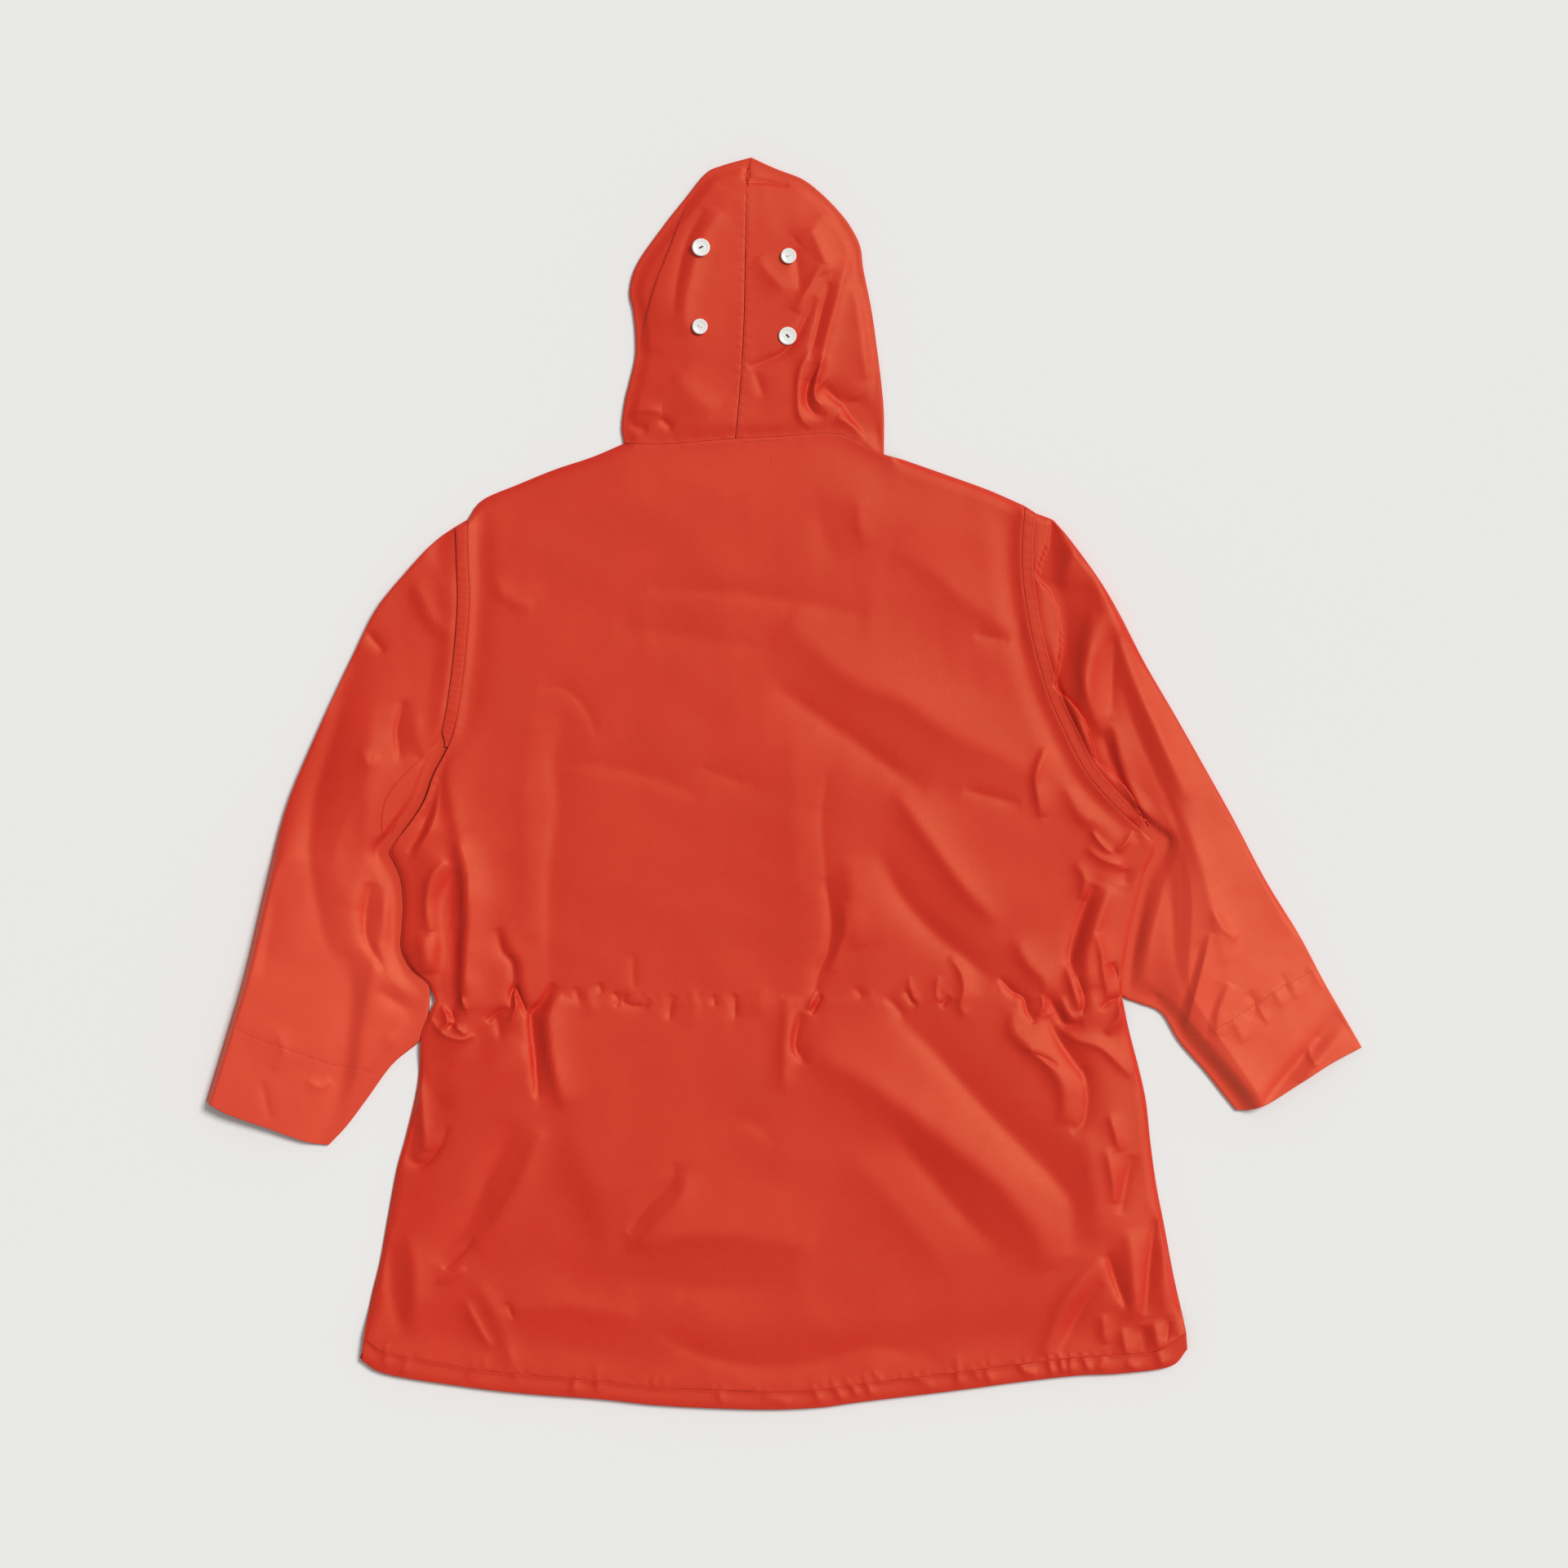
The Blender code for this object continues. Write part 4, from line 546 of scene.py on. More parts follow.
def relaxed(surface: Shape, cells: int = 36, sweeps: int = 500) -> Shape:
    """Spread a surface's inner places out so that no two of its lines cross.

    Args:
        surface: A function from two shares to places.
        cells: How many cells of it are spread, each way.
        sweeps: How often each place is moved between its neighbours.

    Returns:
        The same kind of function, over the spread places.
    """
    shares = np.linspace(0, 1, cells + 1)
    s, t = np.meshgrid(shares, shares)
    net = surface(s.ravel(), t.ravel()).reshape(cells + 1, cells + 1, 2)
    for _ in range(sweeps):
        across_by = (net[1:-1, 2:] - net[1:-1, :-2]) / 2
        along_by = (net[2:, 1:-1] - net[:-2, 1:-1]) / 2
        a = (along_by ** 2).sum(axis=2, keepdims=True)
        b = (across_by * along_by).sum(axis=2, keepdims=True)
        c = (across_by ** 2).sum(axis=2, keepdims=True)
        twist = net[2:, 2:] - net[2:, :-2] - net[:-2, 2:] + net[:-2, :-2]
        net[1:-1, 1:-1] = (a * (net[1:-1, 2:] + net[1:-1, :-2])
                           + c * (net[2:, 1:-1] + net[:-2, 1:-1])
                           - b * twist / 2) / (2 * (a + c))

    def at(share: Array, t: Array) -> Array:
        """Find places between those of the spread net.

        Args:
            share, t: Shares across and along.

        Returns:
            Rows of x and y.
        """
        x, y = share * cells, t * cells
        i, j = (np.minimum(value.astype(int), cells - 1) for value in (x, y))
        fx, fy = (x - i)[:, None], (y - j)[:, None]
        low = net[j, i] * (1 - fx) + net[j, i + 1] * fx
        high = net[j + 1, i] * (1 - fx) + net[j + 1, i + 1] * fx
        return low * (1 - fy) + high * fy
    return at


def ease(value: Array, start: float, end: float) -> Array:
    """Return 0 before start, 1 after end and a smooth step between them."""
    t = np.clip((value - start) / (end - start), 0, 1)
    return t * t * (3 - 2 * t)


def nearest(x: Array, y: Array, path: Array) -> tuple[Array, Array, Array]:
    """Find how places lie beside a path.

    Args:
        x, y: Places across and along.
        path: Rows of x and y.

    Returns:
        The distance to the path, its side (above zero on the left) and the length run so far.
    """
    best = np.full(np.shape(x), 1e9)
    side, along = np.zeros_like(best), np.zeros_like(best)
    run = 0.0
    for (ax, ay), (bx, by) in zip(path, path[1:]):
        dx, dy = bx - ax, by - ay
        length = math.hypot(dx, dy)
        t = np.clip(((x - ax) * dx + (y - ay) * dy) / length ** 2, 0, 1)
        away = np.hypot(x - ax - t * dx, y - ay - t * dy)
        closer = away < best
        best = np.where(closer, away, best)
        side = np.where(closer, np.sign(dx * (y - ay) - dy * (x - ax)), side)
        along = np.where(closer, run + t * length, along)
        run += length
    return best, side, along


def length_of(path: Array) -> float:
    """Return the length of a path."""
    return float(np.linalg.norm(np.diff(path, axis=0), axis=1).sum())


def beside(x: Array, y: Array, path: Array, reach: float) -> Array:
    """Return which places lie in the box round a path, widened by a reach."""
    low, high = path.min(axis=0) - reach, path.max(axis=0) + reach
    return (x > low[0]) & (x < high[0]) & (y > low[1]) & (y < high[1])


def folded(x: Array, y: Array, folds: Sequence[Fold]) -> Array:
    """Add up the heights of folds.

    Args:
        x, y: Places across and along.
        folds: The crests and troughs.

    Returns:
        The height that they add at each place.
    """
    height = np.zeros(np.shape(x))
    for fold in folds:
        path = smooth(fold.path, 4)
        near = beside(x, y, path, 2.6 * fold.width * (1 + abs(fold.lean)))
        if near.any():
            away, side, along = nearest(x[near], y[near], path)
            share = along / length_of(path)
            fade = np.clip(4.4 * share * (1 - share), 0, 1) ** 0.6
            width = fold.width * (1 + fold.lean * side)
            turn = np.maximum(np.sqrt((away / width) ** 2 + ROUNDING ** 2) - ROUNDING, 0)
            height[near] += fold.height * (0.1 + 0.9 * fade) * np.exp(-1.2 * turn ** 1.2)
    return height


def sewn(x: Array, y: Array, seams: Sequence[Seam]) -> Array:
    """Add up the grooves and puckers of sewn lines.

    Args:
        x, y: Places across and along.
        seams: The sewn lines.

    Returns:
        The height that they add at each place.
    """
    height = np.zeros(np.shape(x))
    for seam in seams:
        path = smooth(seam.path, 4)
        near = beside(x, y, path, 3 * seam.reach)
        if near.any():
            away, side, along = nearest(x[near], y[near], path)
            groove = np.exp(-(away / seam.width) ** 2)
            turn = 2 * math.pi * along / seam.pitch + 0.8 * side
            wave = 0.6 * np.sin(turn) + 0.5 * np.sin(0.37 * turn + 1.3) * np.sin(1.71 * turn)
            spread = np.exp(-(away / seam.reach) ** 2) * (1 - groove)
            height[near] += seam.pucker * wave * spread - seam.depth * groove
    return height


def stepped(x: Array, y: Array, ledge: Ledge) -> Array:
    """Find how high the cloth stands beside a ledge.

    Args:
        x, y: Places across and along.
        ledge: The path that the cloth drops across.

    Returns:
        The height at each place, raised on the left of the path within its reach.
    """
    path = smooth(ledge.path, 4)
    away, side, along = nearest(x, y, path)
    share = along / length_of(path)
    fade = np.sqrt(np.clip(6 * share * (1 - share), 0, 1))
    return fade * np.where(side > 0, ledge.height * np.exp(-(away / ledge.reach) ** 2),
                           -ledge.hollow * np.exp(-away / ledge.hollow_reach))


def billow(x: Array, y: Array) -> Array:
    """Return the slow rise and fall of an upper layer that isn't pressed flat."""
    return 1.1 + 0.7 * np.sin(x / 61 + y / 97 + 0.6) + 0.5 * np.sin(y / 43 - x / 130 + 2.1)


def rumple(x: Array, y: Array) -> Array:
    """Find the slight, flat-faced unevenness of cotton that has been washed and worn.

    Args:
        x, y: Places across and along.

    Returns:
        The height that it adds at each place.
    """
    height = np.zeros(np.shape(x))
    for turn, pitch, rise in RUMPLES:
        over = (x * math.cos(turn) + y * math.sin(turn)) / pitch
        along = (y * math.cos(turn) - x * math.sin(turn)) / pitch
        crease = np.sqrt(np.sin(over + 1.6 * np.sin(0.55 * along + turn)) ** 2 + 0.03)
        height += rise * crease * np.sin(0.43 * along + 0.31 * over + 3 * turn)
    return height


def held_up(height: Array, lowest: Array | float = LOWEST) -> Array:
    """Keep a height above the lowest one, with a soft turn."""
    return lowest + 0.5 * np.logaddexp(0, (height - lowest) / 0.5)


def rimmed(count: int, length: float) -> Array:
    """Return shares of a length for about this many cells, narrow at the rounded ends."""
    rim, start = np.array(RIM) / length, PAST_RIM / length
    return np.concatenate((rim, np.linspace(start, 1 - start, count), 1 - rim[::-1]))


def rolled(turns: int, rising: bool) -> list[tuple[float, float, float]]:
    """Go round the rolled edge where two layers meet.

    Args:
        turns: How many flats the roll has.
        rising: Whether it goes from the lower layer to the upper one.

    Returns:
        Stops of share, inset and lift.
    """
    stops = []
    for k in range(turns + 1):
        angle = math.pi * (k / turns - 0.5)
        stops.append((0.0, FOLD_RADIUS * (1 - math.cos(angle)), 0.5 * (1 + math.sin(angle))))
    return stops if rising else stops[::-1]


def on_stops(share: Array, stops: Array) -> list[Array]:
    """Return share, inset and lift at shares of the way over evenly spaced stops."""
    even = np.linspace(0, 1, len(stops))
    return [np.interp(share, even, stops[:, k]) for k in range(3)]


# ==== meshes and shader nodes
def mesh_of(shape: Solid, name: str) -> Mesh:
    """Turn a bmesh into a mesh and free it.

    Args:
        shape: The bmesh.
        name: The mesh's name.

    Returns:
        The mesh.
    """
    mesh = bpy.data.meshes.new(name)
    shape.to_mesh(mesh)
    shape.free()
    return mesh


def placed(name: str, data: bpy.types.ID) -> Piece:
    """Return a new object in the scene, with this mesh, light or camera."""
    bpy.context.scene.collection.objects.link(bpy.data.objects.new(name, data))
    return bpy.data.objects[name]


def dressed(name: str, mesh: Mesh, material: Material) -> Piece:
    """Put a smoothly shaded piece in the scene.

    Args:
        name: Its name.
        mesh: Its mesh.
        material: Its finish.

    Returns:
        The piece.
    """
    mesh.shade_smooth()
    mesh.materials.append(material)
    return placed(name, mesh)


def new_group(name: str, inputs: dict[str, tuple[str, object]], outputs: dict[str, str]) -> Tree:
    """Start a shader node group.

    Args:
        name: The group's name.
        inputs: For each input's name, its kind of socket and the value that it starts with.
        outputs: For each output's name, its kind of socket.

    Returns:
        The group, with its input and output nodes named "in" and "out".
    """
    group = bpy.data.node_groups.new(name, "ShaderNodeTree")
    for label, (kind, value) in inputs.items():
        socket = group.interface.new_socket(label, in_out="INPUT", socket_type=kind)
        if value is not None:
            socket.default_value = value
    for label, kind in outputs.items():
        group.interface.new_socket(label, in_out="OUTPUT", socket_type=kind)
    group.nodes.new("NodeGroupInput").name = "in"
    group.nodes.new("NodeGroupOutput").name = "out"
    return group


def join(tree: Tree, node: Node, links: dict[int | str, object]) -> None:
    """Join a node's inputs to sockets, or set their values.

    Args:
        tree: The node tree.
        node: The node.
        links: For each input, the socket that it is joined to or the value that it has.
    """
    for label, value in links.items():
        if isinstance(value, Socket):
            tree.links.new(value, node.inputs[label])
        else:
            node.inputs[label].default_value = value


def add_node(tree: Tree, kind: str, settings: dict[str, object] | None = None,
             links: dict[int | str, object] | None = None) -> Node:
    """Add a shader node and join it up.

    Args:
        tree: The node tree.
        kind: The node's type, without its "ShaderNode".
        settings: Values of the node's own properties.
        links: For each input, the socket that it is joined to or the value that it has.

    Returns:
        The node.
    """
    node = tree.nodes.new("ShaderNode" + kind)
    for label, value in (settings or {}).items():
        setattr(node, label, value)
    join(tree, node, links or {})
    return node


def reckoned(tree: Tree, operation: str, *values: object) -> Socket:
    """Return the result of a Math node on sockets or numbers."""
    return add_node(tree, "Math", {"operation": operation}, dict(enumerate(values))).outputs[0]


def mixed(tree: Tree, share: object, low: object, high: object) -> object:
    """Return the colour between two, by a share."""
    return add_node(tree, "Mix", {"data_type": "RGBA"}, {0: share, 6: low, 7: high}).outputs[2]


def noise(tree: Tree, place: Socket, scale: float, detail: float,
          roughness: float = 0.5, dimensions: str = "3D") -> Socket:
    """Add a noise texture.

    Args:
        tree: The node tree.
        place: Where it is read.
        scale: How many lumps it has to a metre.
        detail: How many finer layers it has.
        roughness: How strong those are.
        dimensions: Whether it is read over a surface, "2D", or through space, "3D".

    Returns:
        Its value.
    """
    return add_node(tree, "TexNoise", {"noise_dimensions": dimensions}, {
        "Vector": place, "Scale": scale, "Detail": detail, "Roughness": roughness}).outputs[0]


def new_material(name: str) -> tuple[Material, Tree, Node]:
    """Start a material.

    Args:
        name: Its name.

    Returns:
        The material, its node tree and its Principled BSDF.
    """
    material = bpy.data.materials.new(name)
    material.use_nodes = True
    return material, material.node_tree, material.node_tree.nodes["Principled BSDF"]


# ==== finishes
def weave_group() -> Tree:
    """Build the plain weave that all of the cotton has.

    Returns:
        A group from a place on the cloth and a thread count to a height and a tone.
    """
    group = new_group("plain_weave", {
        "Place": (VECTOR, None), "Threads": (FLOAT, 2200.0),
        "Slub": (FLOAT, 0.4)}, {
        "Height": FLOAT, "Tone": FLOAT})
    place = group.nodes["in"].outputs
    turn = add_node(group, "VectorMath", {"operation": "SCALE"},
                    {0: place["Place"], "Scale": place["Threads"]}).outputs[0]
    axes = add_node(group, "SeparateXYZ", links={0: turn}).outputs
    warp, weft = (reckoned(group, "SINE", axes[k]) for k in (0, 1))
    cross = reckoned(group, "MULTIPLY", warp, weft)
    slubs = []
    for stretch in ((60.0, 900.0, 1.0), (900.0, 60.0, 1.0)):
        drawn = add_node(group, "Mapping", links={"Vector": place["Place"], "Scale": stretch})
        slubs.append(noise(group, drawn.outputs[0], 1.0, 2.0, dimensions="2D"))
    slub = reckoned(group, "ADD", *slubs)
    tone = add_node(group, "MapRange", links={
        "Value": slub, "From Min": 0.6, "From Max": 1.4})
    raised = reckoned(group, "MULTIPLY_ADD", tone.outputs[0], place["Slub"], cross)
    group.links.new(raised, group.nodes["out"].inputs["Height"])
    group.links.new(tone.outputs[0], group.nodes["out"].inputs["Tone"])
    return group


def dye_and_sheen_group() -> Tree:
    """Build the uneven dye of washed cotton, mixed towards a paler colour for the paler seam strips
    and the painted sheen.

    Returns:
        A group from a place, a thread tone, a share of paling and painted sheen, and three colours
        to a colour.
    """
    group = new_group("dye_and_painted_sheen", {
        "Place": (VECTOR, None), "Tone": (FLOAT, 0.5),
        "Wear": (FLOAT, 0.0), "Deep": (COLOUR, (0.5, 0.02, 0.01, 1)),
        "Body": (COLOUR, (0.6, 0.04, 0.02, 1)),
        "Worn": (COLOUR, (0.7, 0.1, 0.05, 1))}, {"Colour": COLOUR})
    given = group.nodes["in"].outputs
    cloud = noise(group, given["Place"], 9.0, 4.0, 0.55, "2D")
    fleck = noise(group, given["Place"], 160.0, 2.0, dimensions="2D")
    blend = reckoned(group, "MULTIPLY_ADD", fleck, 0.35, cloud)
    blend = reckoned(group, "MULTIPLY_ADD", given["Tone"], 0.25, blend)
    share = add_node(group, "MapRange", links={
        "Value": blend, "From Min": 0.55, "From Max": 1.05})
    body = mixed(group, share.outputs[0], given["Deep"], given["Body"])
    # mix towards the paler colour: a little in the seam strips, much more in the painted sheen
    worn = mixed(group, given["Wear"], body, given["Worn"])
    group.links.new(worn, group.nodes["out"].inputs["Colour"])
    return group


@dataclass(frozen=True)
class Groups:
    """The shader node groups that several finishes share."""
    weave: Tree
    dye_and_sheen: Tree


@dataclass(frozen=True)
class Cotton:
    """Dense dyed cotton, with the sizes of its weave, the colours of its dye and the paler colour
    of its seam strips and painted sheen.
    """
    deep: Colour = (0.595, 0.012, 0.008, 1.0)
    body: Colour = (0.63, 0.017, 0.011, 1.0)
    # paler colour: seam strips are mixed a little towards it, and the painted sheen of the sleeves
    # much more
    worn: Colour = (0.72, 0.050, 0.028, 1.0)
    threads: float = 9000.0  # radians in a metre: a thread every 0.35 mm
    slub: float = 0.5
    relief: float = 0.00005  # metres
    roughness: float = 0.51
    gloss: float = 0.62
    gloss_tint: Colour = (1.0, 0.85, 0.40, 1.0)
    sheen: float = 0.04
    sheen_roughness: float = 0.5
    sheen_tint: Colour = (1.0, 0.62, 0.36, 1.0)

    def material(self, name: str, groups: Groups) -> Material:
        """Make the cotton of one piece.

        Args:
            name: The piece's name.
            groups: The shared node groups.

        Returns:
            A material that reads the piece's cloth map and its attribute of seam paling and painted
            sheen.
        """
        material, tree, shader = new_material(name + "_cotton")
        place = add_node(tree, "UVMap", {"uv_map": "cloth"}).outputs[0]
        wear = add_node(tree, "Attribute", {"attribute_name": "wear"}).outputs["Fac"]
        weave = add_node(tree, "Group", {"node_tree": groups.weave}, {
            "Place": place, "Threads": self.threads, "Slub": self.slub})
        dye_and_sheen = add_node(tree, "Group", {"node_tree": groups.dye_and_sheen}, {
            "Place": place, "Tone": weave.outputs["Tone"], "Wear": wear, "Deep": self.deep,
            "Body": self.body, "Worn": self.worn})
        bump = add_node(tree, "Bump", links={
            "Strength": 0.5, "Distance": self.relief, "Height": weave.outputs["Height"]})
        rough = add_node(tree, "MapRange", links={
            "Value": weave.outputs["Tone"], "To Min": self.roughness - 0.05,
            "To Max": self.roughness + 0.05})
        join(tree, shader, {
            "Base Color": dye_and_sheen.outputs["Colour"], "Roughness": rough.outputs[0],
            "Normal": bump.outputs["Normal"], "Specular IOR Level": self.gloss,
            "Specular Tint": self.gloss_tint, "Sheen Weight": self.sheen,
            "Sheen Roughness": self.sheen_roughness, "Sheen Tint": self.sheen_tint})
        return material


@dataclass(frozen=True)
class Thread:
    """Twisted sewing thread: a light colour on its strands and a darker one painted into the
    grooves between them as shade.
    """
    light: Colour
    # painted shade in the grooves between the strands
    dark: Colour
    twist: float = 0.0006  # metres from one strand to the next

    def material(self, name: str) -> Material:
        """Make the thread of one run of stitches.

        Args:
            name: The run's name.

        Returns:
            A material with slanting strands across its Object coordinates, its colour painted
            darker in the grooves between them as shade.
        """
        material, tree, shader = new_material(name + "_thread")
        place = add_node(tree, "TexCoord").outputs["Object"]
        strands = add_node(tree, "TexWave", {"bands_direction": "DIAGONAL"}, {
            "Vector": place, "Scale": 0.314 / self.twist, "Distortion": 1.5,
            "Detail": 1.0}).outputs["Fac"]
        bump = add_node(tree, "Bump", links={"Strength": 0.6, "Distance": 0.0001,
                                             "Height": strands})
        # the colour follows the strands' relief: painted shade where it is low
        join(tree, shader, {"Base Color": mixed(tree, strands, self.dark, self.light),
                            "Normal": bump.outputs["Normal"], "Roughness": 0.55})
        return material


@dataclass(frozen=True)
class ButtonPlastic:
    """Slightly clouded white plastic."""
    light: Colour = (0.88, 0.87, 0.84, 1.0)
    clouded: Colour = (0.74, 0.73, 0.70, 1.0)
    roughness: float = 0.28

    def material(self, name: str) -> Material:
        """Make the plastic of one button.

        Args:
            name: The button's name.

        Returns:
            A glossy material with faint clouds and scratches.
        """
        material, tree, shader = new_material(name + "_plastic")
        place = add_node(tree, "TexCoord").outputs["Object"]
        cloud, scratch = noise(tree, place, 260.0, 3.0), noise(tree, place, 2400.0, 1.0)
        rough = add_node(tree, "MapRange", links={
            "Value": scratch, "To Min": self.roughness - 0.08, "To Max": self.roughness + 0.14})
        bump = add_node(tree, "Bump", links={"Strength": 0.15, "Distance": 0.00005,
                                             "Height": scratch})
        join(tree, shader, {"Base Color": mixed(tree, cloud, self.clouded, self.light),
                            "Roughness": rough.outputs[0], "Normal": bump.outputs["Normal"]})
        return material


@dataclass(frozen=True)
class PaleSurface:
    """The pale table top that the smock lies on."""
    light: Colour = (0.83, 0.825, 0.81, 1.0)
    shade: Colour = (0.815, 0.81, 0.795, 1.0)

    def material(self, name: str) -> Material:
        """Make the surface's material, faintly mottled.

        Args:
            name: The surface's name.

        Returns:
            The material.
        """
        material, tree, shader = new_material(name + "_paper")
        place = add_node(tree, "TexCoord").outputs["Object"]
        cloud = noise(tree, place, 1.1, 2.0)
        join(tree, shader, {"Base Color": mixed(tree, cloud, self.shade, self.light),
                            "Roughness": 0.9, "Specular IOR Level": 0.1})
        return material


# ==== sheets of cloth
@dataclass(frozen=True)
class PaintedSheen:
    """A painted sheen: colour that grows paler along a sleeve, where a light's highlight falls."""
    amount: float  # where the painted sheen is strongest, as a share of the full paler colour
    start: Span
    end: Span

    def at(self, place: Array) -> Array:
        """Return how strong the painted sheen is at places, as shares of the full paler colour."""
        start, way = np.array(self.start), np.subtract(self.end, self.start)
        return self.amount * ease((place[:, :2] - start) @ way / (way @ way), 0.0, 1.0)


@dataclass
class Sheet:
    """One cut piece of cloth: a net of cells, finer at its creases, laid on a shape."""
    name: str
    node: str
    shape: Shape
    columns: Array  # shares across, u
    rows: Array  # shares along, v
    flat: Span  # size of the cut, in metres
    area: float  # of the cut, in square metres
    grain: float = 0.0  # angle of the warp from +Y, in degrees
    turned: bool = False  # whether its outside is on the other side of the net
    closed: bool = False  # whether its first and last columns are joined
    rests_on: tuple[str, ...] = ()
    finer: list[tuple[Sequence[Array], float]] = field(default_factory=list)
    seams: Sequence[Array] = ()
    lowest_finer: float = -1.0
    # a sleeve's painted sheen, a light's highlight painted into its colour
    painted_sheen: PaintedSheen | None = None

    def spread(self, u: Array, v: Array) -> Array:
        """Return the shape's places, as rows of x, y and z, at even shares of the net."""
        return self.shape(*(np.interp(share, np.linspace(0, 1, len(marks)), marks)
                            for share, marks in ((u, self.columns), (v, self.rows))))

    def net(self) -> Mesh:
        """Make the flat net, with its cells halved near the paths that need it.

        Returns:
            A mesh whose points hold their even shares of the net in x and y.
        """
        cloth = bmesh.new()
        bmesh.ops.create_grid(cloth, x_segments=len(self.columns) - 1,
                              y_segments=len(self.rows) - 1, size=0.5)
        bmesh.ops.translate(cloth, verts=cloth.verts, vec=(0.5, 0.5, 0.0))
        for paths, reach in self.finer:
            middles = np.array([face.calc_center_median() for face in cloth.faces])
            place = self.spread(middles[:, 0], middles[:, 1])
            hit = np.zeros(len(place), bool)
            for path in paths:
                near = beside(place[:, 0], place[:, 1], path, reach)
                hit[near] |= nearest(place[near, 0], place[near, 1], path)[0] < reach
            hit &= place[:, 2] >= self.lowest_finer
            edges = {edge for face, wanted in zip(cloth.faces, hit)
                     if wanted and len(face.verts) == 4 for edge in face.edges}
            bmesh.ops.subdivide_edges(cloth, edges=list(edges), cuts=1, use_grid_fill=True)
        return mesh_of(cloth, self.name)

    @staticmethod
    def unfold(cloth: Solid) -> None:
        """Smooth the few cells of a flattened tube that overlap their neighbours in plan.

        Args:
            cloth: The tube, its faces turned outwards.
        """
        for _ in range(8):
            overlapping = {vert for face in cloth.faces for vert in face.verts
                           if (face.calc_center_median().z > FOLD_RADIUS * MM)
                           != (face.normal.z > 0)}
            inner = [vert for vert in overlapping if not vert.is_boundary]
            bmesh.ops.smooth_vert(cloth, verts=inner, factor=0.5, use_axis_x=True,
                                  use_axis_y=True, use_axis_z=False)
            cloth.normal_update()

    def mark(self, mesh: Mesh, place: Array) -> None:
        """Write the cloth's own map onto the net, with its paler seam strips and its painted sheen.

        Args:
            mesh: The net.
            place: Rows of x, y and z, one for each of its points.
        """
        turn = math.radians(self.grain)
        corners = np.empty(len(mesh.loops), np.int32)
        mesh.loops.foreach_get("vertex_index", corners)
        mapped = np.column_stack((place[:, 0] * math.cos(turn) + place[:, 1] * math.sin(turn),
                                  place[:, 1] * math.cos(turn) - place[:, 0] * math.sin(turn)))
        layer = mesh.uv_layers.new(name="cloth")
        layer.data.foreach_set("uv", (mapped[corners] * MM).astype(np.float32).ravel())
        # paler strips along the seams
        wear = np.zeros(len(place))
        for path in self.seams:
            near = beside(place[:, 0], place[:, 1], path, PALING_REACH)
            away = nearest(place[near, 0], place[near, 1], path)[0]
            wear[near] = np.maximum(wear[near], SEAM_PALING * np.exp(-(away / PALING_WIDTH) ** 2))
        # painted sheen: a light's highlight painted into the colour along a sleeve
        if self.painted_sheen:
            wear = np.maximum(wear, self.painted_sheen.at(place))
        mesh.attributes.new("wear", "FLOAT", "POINT").data.foreach_set(
            "value", wear.astype(np.float32))

    def build(self, material: Material) -> Piece:
        """Lay the net on the shape and make it a cloth wall.

        Args:
            material: The cotton of this piece.

        Returns:
            The finished piece, which replaces its node: the node's solid is hidden.
        """
        mesh = self.net()
        shares = np.empty(len(mesh.vertices) * 3, np.float32)
        mesh.vertices.foreach_get("co", shares)
        shares = shares.reshape(-1, 3).astype(float)
        place = self.spread(np.clip(shares[:, 0], 0, 1), np.clip(shares[:, 1], 0, 1))
        mesh.vertices.foreach_set("co", (place * MM).astype(np.float32).ravel())
        self.mark(mesh, place)
        cloth = bmesh.new()
        cloth.from_mesh(mesh)
        if self.closed:
            bmesh.ops.remove_doubles(cloth, verts=cloth.verts, dist=0.00001)
            bmesh.ops.recalc_face_normals(cloth, faces=cloth.faces)
            self.unfold(cloth)
        elif self.turned:
            bmesh.ops.reverse_faces(cloth, faces=cloth.faces)
        cloth.to_mesh(mesh)
        cloth.free()
        piece = dressed(self.name, mesh, material)
        wall = piece.modifiers.new("wall", "SOLIDIFY")
        wall.thickness = CLOTH * MM
        wall.offset = -1.0
        wall.use_rim = True
        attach(piece, "root")
        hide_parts(self.node)
        list(self.rests_on)
        LOG.info("%s: %d cells", self.name, len(mesh.polygons))
        return piece


def made_up(sheets: Sequence[Sheet], groups: Groups) -> list[Piece]:
    """Return the pieces that sheets make, each in a cotton of its own."""
    return [sheet.build(Cotton().material(sheet.name, groups)) for sheet in sheets]


def curves_of(seams: Sequence[Seam], steps: int = 4) -> list[Array]:
    """Return the curves of sewn lines."""
    return [smooth(seam.path, steps) for seam in seams]


def paths_of(folds: Sequence[Fold], widest: float) -> list[Array]:
    """Return the paths of the folds that aren't wider than this."""
    return [smooth(fold.path, 3) for fold in folds if fold.width <= widest]


